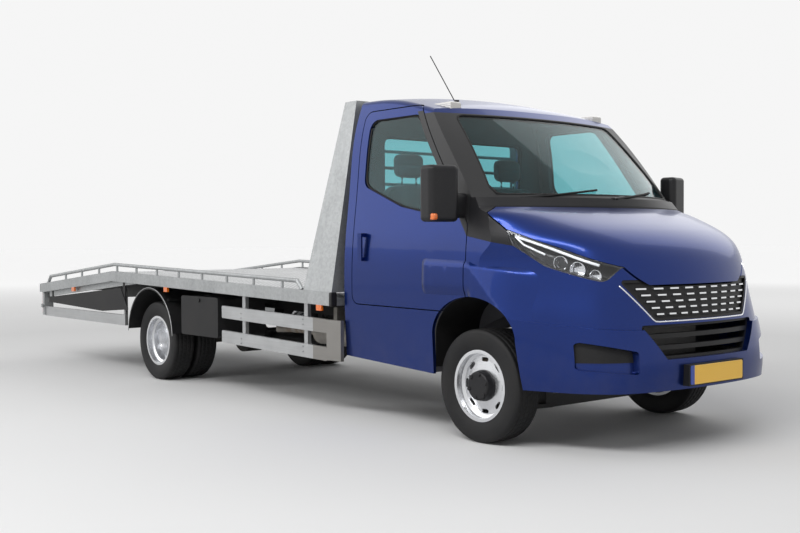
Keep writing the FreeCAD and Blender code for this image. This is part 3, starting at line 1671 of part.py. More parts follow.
def left_mirror():
    """Rounded mirror housing on a thick arm from the door, slanted back at its outer end."""
    housing = plan_prism([
        (mirror_front, mirror_inner, mirror_corner),
        (mirror_front - mirror_trail, mirror_outer, mirror_corner),
        (mirror_front - mirror_trail - mirror_depth, mirror_outer, mirror_corner),
        (mirror_front - mirror_depth, mirror_inner, mirror_corner)],
        mirror_foot, mirror_foot + mirror_height)
    level = [edge for edge in housing.Edges if edge.BoundBox.ZLength < seat_gap]
    housing = housing.makeFillet(mirror_round, level)
    front, rear = mirror_front - mirror_corner, mirror_front - mirror_arm_depth
    head = mirror_arm_foot + mirror_arm_height
    arm = side_prism([
        (front, mirror_arm_foot, mirror_arm_round), (front, head, mirror_arm_round),
        (rear, head, mirror_arm_round), (rear, mirror_arm_foot, mirror_arm_round)],
        glass_waist_half_width - overrun, mirror_inner + mirror_corner)
    return joined([housing, arm]).cut(cab_outer())


def left_handle():
    """Upright grip near the door's rear edge, on two feet."""
    base = cab_width / 2 - overrun
    grip = block(handle_x - handle_width / 2, handle_x + handle_width / 2,
                 base, cab_width / 2 + handle_depth, handle_foot, handle_foot + handle_height)
    space = block(handle_x - handle_width, handle_x + handle_width,
                  base - overrun, cab_width / 2 + handle_depth - handle_grip,
                  handle_foot + handle_grip * 2, handle_foot + handle_height - handle_grip * 2)
    return grip.cut(space).cut(cab_outer())


def left_mirror_glass():
    """Mirror glass on the housing's rear face."""
    direction = Vector(-mirror_trail, mirror_outer - mirror_inner, 0).normalize()
    behind = Vector(-direction.y, direction.x, 0)
    start = Vector(mirror_front - mirror_depth, mirror_inner, 0) + direction * mirror_corner
    end = Vector(mirror_front - mirror_trail - mirror_depth, mirror_outer, 0) - direction * mirror_corner
    corners = [start, end, end + behind * mirror_glass_thickness, start + behind * mirror_glass_thickness]
    return plan_prism([(spot.x, spot.y) for spot in corners],
                      mirror_foot + mirror_corner, mirror_foot + mirror_height - mirror_corner)


# Inside the cab and small outer fittings

def dashboard():
    """Dashboard across the cab, with the steering column."""
    half = cab_width / 2 - cab_wall - dash_side_gap * 3
    front = firewall - seat_gap
    body = side_prism([(front, dash_foot), (front, dash_top - dash_drop), (front - dash_drop, dash_top),
                       (dash_rear + dash_drop, dash_top, dash_round),
                       (dash_rear, dash_top - dash_drop, dash_round), (dash_rear + dash_drop, dash_foot)],
                      -half, half)
    lean = math.radians(steering_wheel_rake)
    axis = Vector(-math.cos(lean), 0, math.sin(lean))
    hub = Vector(steering_wheel_x, steering_wheel_y, steering_wheel_z)
    column = rod(hub - axis * steering_wheel_grip * 2, hub - axis * steering_column_length,
                 steering_column_radius)
    return joined([body.cut(cab_shell()), column])


def steering_wheel():
    """Rim, hub and three spokes, square to the column."""
    lean = math.radians(steering_wheel_rake)
    axis = Vector(-math.cos(lean), 0, math.sin(lean))
    hub = Vector(steering_wheel_x, steering_wheel_y, steering_wheel_z)
    ring = Part.makeTorus(steering_wheel_radius, steering_wheel_grip, hub, axis)
    middle = Part.makeCylinder(steering_hub_radius, steering_wheel_grip * 2,
                               hub - axis * (steering_wheel_grip * 2 - seat_gap), axis)
    up = Vector(axis.z, 0, -axis.x)
    parts = [ring, middle]
    for angle in (math.pi / 2, math.pi * 3 / 2, math.pi):
        way = up * math.cos(angle) + Vector(0, 1, 0) * math.sin(angle)
        start = hub - axis * steering_wheel_grip
        parts.append(rod(start, start + way * steering_wheel_radius + axis * steering_wheel_grip / 2,
                         steering_wheel_grip * 2 / 3))
    return joined(parts)


def seat(y, width):
    """A seat's cushion on its plinth, and its leaning back."""
    low, high = y - width / 2, y + width / 2
    cushion_foot = seat_base_height - seat_base_thickness
    plinth = block(seat_rear + seat_corner, seat_front - seat_corner * 2, low + seat_corner, high - seat_corner,
                   cab_floor, cushion_foot)
    cushion = side_prism([
        (seat_rear, cushion_foot, seat_corner), (seat_front, cushion_foot, seat_corner),
        (seat_front, seat_base_height, seat_corner), (seat_rear, seat_base_height)], low, high)
    lean = seat_back_lean
    foot = seat_base_height + seat_gap
    back = side_prism([
        (seat_rear, foot), (seat_rear + seat_back_thickness, foot),
        (seat_rear + seat_back_thickness - lean, seat_base_height + seat_back_height, seat_corner),
        (seat_rear - lean, seat_base_height + seat_back_height, seat_corner)], low, high)
    return joined([plinth, cushion]), back


def headrest(y):
    """A headrest on two pins."""
    foot = seat_base_height + seat_back_height
    middle = seat_rear + seat_back_thickness / 2 - seat_back_lean
    pad = block(middle - headrest_depth / 2, middle + headrest_depth / 2, y - headrest_width / 2,
                y + headrest_width / 2, foot + headrest_gap, foot + headrest_gap + headrest_height)
    pins = [rod(Vector(middle, y + side * headrest_pin_spread / 2, foot - headrest_gap),
                Vector(middle, y + side * headrest_pin_spread / 2, foot + headrest_gap * 2),
                headrest_pin_radius) for side in (-1, 1)]
    return joined([pad] + pins)


def seat_cushions():
    """The cushions of the driver's seat and of the double seat, on their plinths."""
    return Part.makeCompound([seat(driver_seat_y, driver_seat_width)[0], seat(bench_y, bench_width)[0]])


def seat_backs():
    """The backs of the driver's seat and of the double seat, with three headrests."""
    driver = joined([seat(driver_seat_y, driver_seat_width)[1], headrest(driver_seat_y)])
    bench = joined([seat(bench_y, bench_width)[1], headrest(bench_y - bench_width / 4),
                    headrest(bench_y + bench_width / 4)])
    return Part.makeCompound([driver, bench])


def roof_lamps():
    """Two low pods on the roof's front corners."""
    pod = block(roof_lamp_x - roof_lamp_length / 2, roof_lamp_x + roof_lamp_length / 2,
                roof_lamp_y - roof_lamp_width / 2, roof_lamp_y + roof_lamp_width / 2,
                roof_front_height - cab_wall, roof_front_height + roof_lamp_rise)
    pod = pod.makeFillet(roof_lamp_round, [edge for edge in pod.Edges
                                           if edge.CenterOfMass.z > roof_front_height])
    pod = pod.cut(cab_outer())
    return both_sides(max(pod.Solids, key=lambda solid: solid.CenterOfMass.z))


def antenna():
    """Thin mast that leans back from a round foot on the roof."""
    foot = Vector(antenna_x, antenna_y, antenna_foot_height)
    mast = rod(foot, foot + Vector(-antenna_lean, 0, antenna_rise), antenna_radius)
    base = rod(foot, foot + Vector(0, 0, antenna_base_rise), antenna_base_radius)
    mast = joined([mast, base]).cut(cab_outer())
    return max(mast.Solids, key=lambda solid: solid.CenterOfMass.z)


def wipers():
    """Two wipers that rest low on the windscreen, each on a post from the cowl."""
    slope = (screen_head_reach - screen_base_reach) / (screen_head_height - screen_base_height)
    parts = []
    for side, start_y in ((1, wiper_first_y), (1, wiper_second_y)):
        spots = []
        for y, rise in ((start_y, 0), (start_y + wiper_blade_length, wiper_rise)):
            share = rise / (screen_head_height - screen_base_height)
            x = screen_base_reach + slope * rise - screen_base_sweep * (y / (cab_width / 2)) ** 2
            spots.append(Vector(x + wiper_stand_off, y, screen_base_height + rise))
        post = rod(spots[0] - Vector(wiper_post, 0, 0), spots[0], wiper_radius)
        parts.append(joined([post, rod(spots[0], spots[1], wiper_radius),
                             Part.makeSphere(wiper_radius, spots[0])]).cut(cab_outer()))
    return Part.makeCompound([part.Solids[0] for part in parts])


# Transporter deck

def deck_strip(drop_top, drop_bottom, y_low, y_high, front=None, tail=None):
    """A strip that follows the deck's kink: between two depths below the side beams' top."""
    front = deck_front if front is None else front
    tail = deck_tail if tail is None else tail
    return side_prism([
        (front, beam_top(front) - drop_top), (front, beam_top(front) - drop_bottom),
        (deck_kink, beam_top(deck_kink) - drop_bottom), (tail, beam_top(tail) - drop_bottom),
        (tail, beam_top(tail) - drop_top), (deck_kink, beam_top(deck_kink) - drop_top)], y_low, y_high)


def side_beam():
    """Left side beam: a channel open inwards, cut to a slant at the tail."""
    inner = deck_half_width - beam_flange
    beam = deck_strip(0, beam_height, inner, deck_half_width)
    beam = beam.cut(deck_strip(beam_web, beam_height - beam_web, inner - overrun,
                               deck_half_width - beam_web, deck_front + overrun, deck_tail - overrun))
    corner = side_prism([
        (deck_tail - overrun, beam_top(deck_tail) - beam_tail_chamfer),
        (deck_tail - overrun, beam_top(deck_tail) - beam_height * 2),
        (deck_tail + beam_tail_chamfer, beam_top(deck_tail) - beam_height * 2),
        (deck_tail + beam_tail_chamfer, beam_top(deck_tail + beam_tail_chamfer) - beam_height)],
        inner - overrun, deck_half_width + overrun)
    return beam.cut(corner)


def bearer_places():
    """x of each cross bearer's middle, from the front to the tail."""
    half = cross_bearer_width / 2
    front = [deck_front - half + (deck_kink - deck_front + half * 2) * index / cross_bearer_count
             for index in range(cross_bearer_count + 1)]
    tail = [deck_kink + (deck_tail + carrier_inset + carrier_thickness + half - deck_kink)
            * index / tail_bearer_count for index in range(1, tail_bearer_count + 1)]
    return front + tail


def cross_bearer(x):
    """A bearer under the planks, between the side beams' webs."""
    low, high = plank_drop + plank_thickness, plank_drop + plank_thickness + cross_bearer_height
    half = cross_bearer_width / 2
    reach = deck_half_width - beam_web
    top = lambda place: beam_top(place) - low
    bottom = lambda place: beam_top(place) - high
    return side_prism([(x - half, bottom(x - half)), (x + half, bottom(x + half)),
                       (x + half, top(x + half)), (x - half, top(x - half))], -reach, reach)


@functools.lru_cache(maxsize=None)
def deck_frame():
    """Side beams and cross bearers of the transporter deck."""
    beam = side_beam()
    bearers = [cross_bearer(x) for x in bearer_places()]
    tail = side_prism([
        (deck_tail + carrier_inset, beam_top(deck_tail) - plank_drop - plank_thickness),
        (deck_tail + carrier_inset, beam_top(deck_tail) - beam_tail_chamfer),
        (deck_tail + carrier_inset + carrier_thickness, beam_top(deck_tail) - beam_tail_chamfer),
        (deck_tail + carrier_inset + carrier_thickness, beam_top(deck_tail) - plank_drop - plank_thickness)],
        beam_web - deck_half_width, deck_half_width - beam_web)
    keel = side_prism([
        (keel_front, beam_top(keel_front) - beam_height), (deck_kink, beam_top(deck_kink) - beam_height),
        (keel_tail, beam_top(keel_tail) - beam_height), (keel_tail, beam_top(keel_tail) - beam_height - keel_height),
        (deck_kink, beam_top(deck_kink) - beam_height - keel_height)],
        deck_half_width - beam_flange, deck_half_width - beam_flange + keel_thickness)
    return joined([beam, other_side(beam), keel, other_side(keel), tail] + bearers)


def deck_planks():
    """Folded planks side by side, open below, between the side beams' flanges."""
    inner = deck_half_width - beam_flange - seat_gap
    pitch = (inner * 2 + plank_seam) / plank_count
    parts = []
    for index in range(plank_count):
        low = -inner + pitch * index
        high = low + pitch - plank_seam
        plank = deck_strip(plank_drop, plank_drop + plank_thickness, low, high)
        hollow = deck_strip(plank_drop + plank_skin, plank_drop + plank_thickness + overrun,
                            low + plank_skin, high - plank_skin, deck_front + overrun, deck_tail - overrun)
        parts.append(plank.cut(hollow))
    return Part.makeCompound(parts)


def lashing_rail():
    """Left lashing rail: a round bar on posts above the side beam, turned down at both ends."""
    start, end = deck_front - rail_start_inset, deck_tail + rail_end_reach
    high = lambda x: Vector(x, rail_line, beam_top(x) + rail_rise)
    low = lambda x: Vector(x, rail_line, beam_top(x))
    points = [low(start), high(start - rail_rise), high(deck_kink), high(end + rail_rise), low(end)]
    bar = bent_tube(points, rail_radius_bar)
    posts = []
    count = int((start - end - rail_rise * 2) / rail_post_pitch)
    for index in range(1, count + 1):
        x = start - rail_rise - rail_post_pitch * index + rail_post_pitch / 2
        posts.append(rod(low(x), high(x), rail_post_radius))
    below = deck_strip(0, beam_height * 2, rail_line - overrun, rail_line + overrun,
                       deck_front + overrun, deck_tail - overrun)
    return joined([bar] + posts).cut(below)


def lashing_rails():
    """Both lashing rails."""
    return both_sides(lashing_rail())


def headboard_edge(height):
    """Half width of the headboard at a height."""
    foot = beam_top(deck_front)
    share = (height - foot) / (headboard_head - foot)
    return headboard_half_foot + (headboard_half_head - headboard_half_foot) * share


def headboard_wing():
    """Left wing: a plate that runs back from the headboard's edge and narrows upwards."""
    rear_foot = headboard_front - headboard_wing_foot
    keys = [(headboard_front, beam_top(deck_front)), (rear_foot, beam_top(rear_foot)),
            (headboard_front - headboard_wing_head, headboard_head), (headboard_front, headboard_head)]
    wire = Part.makePolygon([Vector(x, headboard_edge(z), z) for x, z in keys + keys[:1]])
    return Part.Face(wire).extrude(Vector(0, -headboard_sheet, 0))


def headboard():
    """Headboard: a sheet with a guarded opening behind the cab's window, framed, with two wings."""
    foot = beam_top(deck_front)
    outline = [(-headboard_half_foot, foot), (headboard_half_foot, foot),
               (headboard_half_head, headboard_head), (-headboard_half_head, headboard_head)]
    back = headboard_front - headboard_bar
    sheet = front_prism(outline, headboard_front - headboard_sheet, headboard_front)
    rim = front_prism(outline, back, headboard_front)
    rim = rim.cut(front_prism(outline, back - overrun, headboard_front + overrun, -headboard_bar))
    opening = front_prism([
        (-headboard_opening_half, headboard_opening_foot, headboard_corner),
        (headboard_opening_half, headboard_opening_foot, headboard_corner),
        (headboard_opening_half, headboard_opening_head, headboard_corner),
        (-headboard_opening_half, headboard_opening_head, headboard_corner)],
        back - overrun, headboard_front + overrun)
    pitch = (headboard_opening_head - headboard_opening_foot) / (headboard_guard_count + 1)
    middle = headboard_front - headboard_sheet / 2
    reach = headboard_opening_half + headboard_bar / 2
    guards = [rod(Vector(middle - headboard_guard_radius, -reach, headboard_opening_foot + pitch * index),
                  Vector(middle - headboard_guard_radius, reach, headboard_opening_foot + pitch * index),
                  headboard_guard_radius) for index in range(1, headboard_guard_count + 1)]
    wing = headboard_wing()
    return joined([sheet.cut(opening), rim, wing, other_side(wing)] + guards).cut(deck_frame())


# Mudguards, boxes, guards and tail fittings

def mudguard_ring(radius, inner_radius, low, high):
    """Part of a ring round the rear wheel, above the mudguard's feet."""
    start = Vector(rear_axle, low, mudguard_middle)
    ring = Part.makeCylinder(radius, high - low, start, Vector(0, 1, 0))
    ring = ring.cut(Part.makeCylinder(inner_radius, high - low, start, Vector(0, 1, 0)))
    span = radius + overrun
    return ring.cut(block(rear_axle - span, rear_axle + span, low, high,
                          mudguard_middle - span, mudguard_foot))


def mudguards():
    """Rounded mudguards over the twin wheels, each on two tubes from the chassis rail."""
    sheet = mudguard_ring(mudguard_radius, mudguard_radius - mudguard_wall, mudguard_inner, mudguard_outer)
    lip = mudguard_ring(mudguard_radius, mudguard_radius - mudguard_lip, mudguard_outer - mudguard_wall,
                        mudguard_outer)
    parts = [sheet, lip]
    angle = math.radians(mudguard_stay_angle)
    reach = mudguard_radius + mudguard_stay_radius - mudguard_wall / 2
    for side in (-1, 1):
        x = rear_axle + side * reach * math.sin(angle)
        z = mudguard_middle + reach * math.cos(angle)
        parts.append(rod(Vector(x, rail_outer, z), Vector(x, mudguard_outer - mudguard_lip * 2, z),
                         mudguard_stay_radius))
    return both_sides(joined(parts))


def toolboxes():
    """Boxes behind the side guards, open outwards, each on two brackets from the chassis rail."""
    face = toolbox_outer - toolbox_lid_thickness - seat_gap
    body = side_prism([
        (toolbox_rear, toolbox_bottom, toolbox_corner), (toolbox_front, toolbox_bottom, toolbox_corner),
        (toolbox_front, toolbox_top, toolbox_corner), (toolbox_rear, toolbox_top, toolbox_corner)],
        toolbox_inner, face)
    space = side_prism([
        (toolbox_rear, toolbox_bottom, toolbox_corner), (toolbox_front, toolbox_bottom, toolbox_corner),
        (toolbox_front, toolbox_top, toolbox_corner), (toolbox_rear, toolbox_top, toolbox_corner)],
        toolbox_inner + toolbox_wall, face + overrun, -toolbox_wall)
    parts = [body.cut(space)]
    for x in (toolbox_rear + guard_post_width * 4, toolbox_front - guard_post_width * 2):
        height = rail_top(x) - rail_height / 2
        parts.append(block(x - guard_post_width / 2, x + guard_post_width / 2, rail_outer, toolbox_inner,
                           height - guard_post_depth, height + guard_post_depth))
    return both_sides(joined(parts))


def left_toolbox_lid():
    """Lid that covers the box's face and hinges at its bottom edge."""
    lid = side_prism([
        (toolbox_rear, toolbox_bottom, toolbox_corner), (toolbox_front, toolbox_bottom, toolbox_corner),
        (toolbox_front, toolbox_top, toolbox_corner), (toolbox_rear, toolbox_top, toolbox_corner)],
        toolbox_outer - toolbox_lid_thickness, toolbox_outer)
    middle = (toolbox_front + toolbox_rear) / 2
    height = toolbox_top - toolbox_lock_radius * 2
    lock = rod(Vector(middle, toolbox_outer - toolbox_lock_depth, height),
               Vector(middle, toolbox_outer + toolbox_lock_depth, height), toolbox_lock_radius)
    return joined([lid, lock])


def guard_foot(foot, x):
    """Height of a side guard's lower edge, parallel to the deck."""
    return foot + beam_slope * ((guard_front + guard_rear) / 2 - x)


def side_guards():
    """Two planks a side on posts that hang from the side beams, with a plate at the front."""
    parts = []
    inner = guard_line - guard_plank_thickness
    for foot in (guard_top_foot, guard_low_foot):
        low_front, low_rear = guard_foot(foot, guard_front), guard_foot(foot, guard_rear)
        parts.append(side_prism([
            (guard_rear, low_rear, guard_plank_round), (guard_front, low_front, guard_plank_round),
            (guard_front, low_front + guard_plank_height, guard_plank_round),
            (guard_rear, low_rear + guard_plank_height, guard_plank_round)], inner, guard_line))
    for x in (guard_front - guard_post_inset, guard_rear + guard_post_inset):
        top = lambda place: beam_top(place) - beam_height
        half = guard_post_width / 2
        parts.append(side_prism([
            (x - half, guard_foot(guard_low_foot, x)), (x + half, guard_foot(guard_low_foot, x)),
            (x + half, top(x + half)), (x - half, top(x - half))], inner - guard_post_depth, inner))
        parts.append(side_prism([
            (x - half * 2, top(x - half * 2) - guard_head_plate), (x + half * 2, top(x + half * 2) - guard_head_plate),
            (x + half * 2, top(x + half * 2)), (x - half * 2, top(x - half * 2))],
            inner - guard_post_depth, guard_line))
    parts.append(block(guard_front, guard_front + guard_end_reach, inner, guard_line,
                       guard_end_foot, guard_end_head))
    guards = [joined(parts), tail_guard()]
    return Part.makeCompound(guards + [other_side(guard) for guard in guards])


def tail_guard():
    """One plank behind the rear wheels, from a post below the deck to the lamp carrier."""
    inner = guard_line - guard_plank_thickness
    rear = deck_tail + carrier_inset + carrier_thickness
    plank = block(rear, tail_guard_front, inner, guard_line,
                  tail_guard_foot, tail_guard_foot + guard_plank_height)
    half = tail_guard_post_width / 2
    top = lambda place: beam_top(place) - beam_height
    post = side_prism([
        (tail_guard_post - half, tail_guard_foot), (tail_guard_post + half, tail_guard_foot),
        (tail_guard_post + half, top(tail_guard_post + half)),
        (tail_guard_post - half, top(tail_guard_post - half))], inner - tail_guard_post_width, inner)
    head = side_prism([
        (tail_guard_post - half * 2, top(tail_guard_post - half * 2) - guard_head_plate),
        (tail_guard_post + half * 2, top(tail_guard_post + half * 2) - guard_head_plate),
        (tail_guard_post + half * 2, top(tail_guard_post + half * 2)),
        (tail_guard_post - half * 2, top(tail_guard_post - half * 2))], inner - tail_guard_post_width,
        deck_half_width - beam_flange)
    cap = block(tail_guard_front, tail_guard_front + tail_guard_cap, inner, guard_line,
                tail_guard_foot, tail_guard_foot + guard_plank_height)
    return joined([plank, cap, post, head])


def rear_aprons():
    """Black tapered side skirts below the deck's tail, on stays from the side beams."""
    line = deck_half_width - apron_inset
    plate = side_prism([
        (keel_tail, apron_rear_foot), (apron_low_x, apron_low_foot), (apron_front, apron_front_foot),
        (apron_front - apron_front_lean, beam_top(apron_front) - beam_height - keel_height),
        (keel_tail, apron_rear_foot + apron_rear_height)], line, line + apron_thickness)
    stays = []
    for x in (apron_front - guard_post_width * 2, keel_tail + guard_post_width * 2):
        half = guard_post_width / 2
        top = lambda place: beam_top(place) - beam_height - (0 if place > deck_kink else 0)
        stays.append(side_prism([
            (x - half, apron_rear_foot + apron_rear_height / 2), (x + half, apron_rear_foot + apron_rear_height / 2),
            (x + half, top(x + half)), (x - half, top(x - half))], line - apron_thickness, line))
    return both_sides(joined([plate] + stays).cut(deck_frame()))


def lamp_carriers():
    """Plates that hang from the tail's cross member and carry the rear lamps."""
    outer = deck_half_width - beam_web - carrier_inset
    front = deck_tail + carrier_inset + carrier_thickness
    plate = block(front - carrier_thickness, front, outer - carrier_width, outer, carrier_foot,
                  beam_top(deck_tail) - beam_tail_chamfer)
    stub = rod(Vector(front - carrier_thickness / 2, outer, carrier_foot + carrier_width),
               Vector(front - carrier_thickness / 2, outer + horn_length / 2, carrier_foot + carrier_width),
               horn_radius)
    return both_sides(joined([plate, stub]).cut(deck_frame()))


def rear_lamps():
    """Rear lamps on the carriers' rear faces."""
    outer = deck_half_width - beam_web - carrier_inset - (carrier_width - lamp_width) / 2
    face = deck_tail + carrier_inset
    lamp = block(face - lamp_thickness, face, outer - lamp_width, outer, carrier_foot + carrier_inset,
                 carrier_foot + carrier_inset + lamp_height)
    return both_sides(lamp)


def side_markers():
    """Amber side markers on the side beams, the guards' ends and the mudguards."""
    lamps = []
    for x in marker_places:
        top = beam_top(x) - beam_height
        lamps.append(block(x - marker_length / 2, x + marker_length / 2, deck_half_width - marker_thickness,
                           deck_half_width, top - marker_height, top + beam_web / 2).cut(deck_frame()))
    return Part.makeCompound(lamps + [other_side(lamp) for lamp in lamps])


# The whole truck, moved so that the origin is the middle of its ground

def wheel_pieces():
    """Wheels, tyres and hub covers at their four places."""
    pieces = {}
    for side, turn in (("left", lambda shape: shape), ("right", other_side)):
        pieces["rim_front_" + side] = turn(at_wheel(front_rim(), 0, wheel_line))
        pieces["tyre_front_" + side] = turn(at_wheel(tyre().cut(front_rim()), 0, wheel_line))
        pieces["hub_cover_" + side] = turn(at_wheel(hub_cover(), 0, wheel_line))
        pieces["knuckle_" + side] = turn(knuckle())
        pieces["rims_rear_" + side] = turn(at_wheel(rear_rims(), rear_axle, twin_line))
        pieces["tyres_rear_" + side] = turn(at_wheel(rear_tyres().cut(rear_rims()), rear_axle, twin_line))
        pieces["door_" + side] = turn(left_door())
        pieces["door_glass_" + side] = turn(left_door_glass())
        pieces["door_trim_" + side] = turn(left_mirror())
        pieces["mirror_glass_" + side] = turn(left_mirror_glass())
        pieces["toolbox_lid_" + side] = turn(left_toolbox_lid())
    return pieces


def all_pieces():
    """Every node of the truck by name."""
    pieces = {
        "chassis_frame": chassis_frame(), "front_suspension": front_suspension(),
        "engine_block": engine_block(), "rear_axle": rear_axle_beam(), "leaf_springs": leaf_springs(),
        "propshaft": propshaft(), "fuel_tank": fuel_tank(), "exhaust": exhaust(),
        "cab_shell": cab_shell(), "fenders": fenders(), "bonnet": bonnet(), "cowl": cowl(),
        "bumper": bumper(), "bumper_trim": bumper_trim(), "grille": grille(),
        "grille_dashes": grille_dashes(), "headlamp_lenses": headlamp_lenses(),
        "headlamp_housings": headlamp_housings(), "arch_liners": arch_liners(), "cab_glass": cab_glass(),
        "dashboard": dashboard(), "steering_wheel": steering_wheel(),
        "seat_cushions": seat_cushions(), "seat_backs": seat_backs(),
        "roof_lamps": roof_lamps(), "antenna": antenna(), "wipers": wipers(),
        "deck_frame": deck_frame(), "deck_planks": deck_planks(), "lashing_rails": lashing_rails(),
        "headboard": headboard(), "mudguards": mudguards(), "toolboxes": toolboxes(),
        "side_guards": side_guards(), "rear_aprons": rear_aprons(), "lamp_carriers": lamp_carriers(),
        "rear_lamps": rear_lamps(), "side_markers": side_markers()}
    pieces.update(wheel_pieces())
    return pieces


os.makedirs("parts", exist_ok=True)
for name, shape in all_pieces().items():
    moved(shape, front_axle_place).exportStep("parts/" + name + ".step")
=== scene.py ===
# %% [markdown]
# # A light car transporter truck
# The truck stands on a pale studio floor. Its metalwork comes in as a fixed frame of named nodes,
# already at full size and in metres. This file gives each node the finish that the real one has, and
# adds what is too fine to be machined: tread, nuts, lamp reflectors, rubber seals and a bare plate.

# %% Load the frame
import bpy
import bmesh
import numpy as np
from mathutils import Matrix, Vector
from mathutils.bvhtree import BVHTree

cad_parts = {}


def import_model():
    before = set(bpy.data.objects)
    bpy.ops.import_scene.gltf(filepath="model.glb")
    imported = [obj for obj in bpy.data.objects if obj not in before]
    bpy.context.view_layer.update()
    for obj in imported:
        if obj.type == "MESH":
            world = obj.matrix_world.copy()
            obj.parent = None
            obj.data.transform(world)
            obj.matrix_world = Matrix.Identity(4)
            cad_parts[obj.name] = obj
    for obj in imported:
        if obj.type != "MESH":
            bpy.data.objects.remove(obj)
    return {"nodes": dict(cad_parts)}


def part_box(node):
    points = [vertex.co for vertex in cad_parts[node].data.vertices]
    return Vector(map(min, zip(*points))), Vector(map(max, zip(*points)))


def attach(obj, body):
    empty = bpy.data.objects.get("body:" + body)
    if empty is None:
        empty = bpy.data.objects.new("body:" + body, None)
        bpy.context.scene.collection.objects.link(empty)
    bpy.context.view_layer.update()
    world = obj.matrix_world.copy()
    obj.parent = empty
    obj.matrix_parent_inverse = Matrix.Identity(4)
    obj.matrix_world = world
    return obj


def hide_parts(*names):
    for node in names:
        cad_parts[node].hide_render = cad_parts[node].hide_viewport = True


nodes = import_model()["nodes"]
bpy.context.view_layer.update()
both_sides = (("left", 1), ("right", -1))

# %% [markdown]
# ## The camera
# The photograph was taken from beside the truck's front right corner, a little over a metre above the
# ground, with a slightly long lens. Its place, heading and focal length were worked out from points
# whose real place is known, such as the wheels' middles and the deck's ends, and not set by eye.

# %% Camera
front_axle_x = 2.757
focal_pixels, photo_pixels = 1095.74, 800
camera_place = Vector((4.7866 + front_axle_x, -5.5479, 1.2336))
heading, tilt, roll = np.radians((140.2353, -1.3855, -0.2546))
ahead = Vector((np.cos(tilt) * np.cos(heading), np.cos(tilt) * np.sin(heading), np.sin(tilt)))
level = ahead.cross(Vector((0, 0, 1))).normalized()
upright = level.cross(ahead)
right = level * np.cos(roll) + upright * np.sin(roll)
over = upright * np.cos(roll) - level * np.sin(roll)
camera_data = bpy.data.cameras.new("camera")
camera_data.sensor_width = 36.0
camera_data.lens = focal_pixels / photo_pixels * camera_data.sensor_width
camera_data.clip_end = 200.0
camera = bpy.data.objects.new("camera", camera_data)
bpy.context.scene.collection.objects.link(camera)
camera.matrix_world = Matrix([*zip(right, over, -ahead, camera_place), (0, 0, 0, 1)])
bpy.context.scene.camera = camera
print("lens in mm:", round(camera_data.lens, 2))

# %% [markdown]
# ## Writing materials as sums
# A material is a graph of small sums. Wiring them one by one hides what they mean, so one small class
# wraps an output socket and lets Python's own operators add the Math nodes: `0.3 + 0.2 * noise` is
# then read as it is written. Colours go through Mix nodes, because a Math node turns a colour grey.

# %% A socket that can be added and multiplied
def math_method(operation):
    """A method that adds the Math node of one operation."""
    return lambda wire, *others: wire.paint.add("ShaderNodeMath", {"operation": operation}, [wire, *others])


class Wire:
    """An output socket in one material's graph, with arithmetic on single values."""

    __add__ = __radd__ = math_method("ADD")
    __mul__ = __rmul__ = math_method("MULTIPLY")
    __sub__, __truediv__ = math_method("SUBTRACT"), math_method("DIVIDE")
    __pow__, __abs__ = math_method("POWER"), math_method("ABSOLUTE")
    above, least, sine = math_method("GREATER_THAN"), math_method("MINIMUM"), math_method("SINE")

    def __init__(self, paint, socket):
        self.paint, self.socket = paint, socket

    def __rsub__(self, other):
        return self.paint.add("ShaderNodeMath", {"operation": "SUBTRACT"}, [other, self])

    def wave(self, pitch):
        """Sine that repeats at an even pitch."""
        return (self * (2 * np.pi / pitch)).sine()

    def ramp(self, low, high):
        """0 below low and 1 above high, with an even slope between."""
        return self.paint.add("ShaderNodeMapRange", {"clamp": True}, {0: self, 1: low, 2: high})


# %% [markdown]
# One material is one `Paint`. Its `add` method makes any node: settings such as an operation come
# first, because they decide which sockets exist, and then the sockets get a value or a link. Every
# pattern starts from Object coordinates, in metres, so that it keeps its real size and moves with
# its piece.

# %% A material with one method for every node
class Paint:
    """A node material under construction."""

    def __init__(self, name, **shader):
        self.material = bpy.data.materials.new(name)
        self.material.use_nodes = True
        self.graph = self.material.node_tree
        self.shader = self.graph.nodes["Principled BSDF"]
        for socket, value in shader.items():
            self.shader.inputs[socket.replace("_", " ")].default_value = value
        self.place = self.add("ShaderNodeTexCoord", {}, {}, "Object")

    def add(self, kind, settings, sockets, output=0):
        node = self.graph.nodes.new(kind)
        for name, value in settings.items():
            if name == "stops":
                ramp = node.color_ramp
                for index, (spot, colour) in enumerate(value):
                    stop = ramp.elements[index] if index < 2 else ramp.elements.new(spot)
                    stop.position, stop.color = spot, (*colour, 1)
            else:
                setattr(node, name, value)
        pairs = sockets.items() if isinstance(sockets, dict) else enumerate(sockets)
        for key, value in pairs:
            if isinstance(value, Wire):
                self.graph.links.new(value.socket, node.inputs[key])
            elif value is not None:
                node.inputs[key].default_value = value
        return Wire(self, node.outputs[output])

    def axis(self, letter):
        return self.add("ShaderNodeSeparateXYZ", {}, [self.place], letter)

    def noise(self, scale, detail=3.0, stretch=None):
        place = self.place
        if stretch:
            place = self.add("ShaderNodeMapping", {}, {0: place, 3: stretch})
        return self.add("ShaderNodeTexNoise", {}, {"Vector": place, "Scale": scale, "Detail": detail})

    def cells(self, scale, output="Distance"):
        return self.add("ShaderNodeTexVoronoi", {}, {"Vector": self.place, "Scale": scale}, output)

    def blend(self, factor, low, high):
        low, high = [(*value, 1) if isinstance(value, tuple) else value for value in (low, high)]
        return self.add("ShaderNodeMix", {"data_type": "RGBA"}, {0: factor, 6: low, 7: high}, 2)

    def feed(self, **sockets):
        for socket, wire in sockets.items():
            self.graph.links.new(wire.socket, self.shader.inputs[socket.replace("_", " ")])
        return self

    def bump(self, height, strength=0.3, distance=0.001):
        rise = self.add("ShaderNodeBump", {}, {"Height": height, "Strength": strength, "Distance": distance})
        return self.feed(Normal=rise)


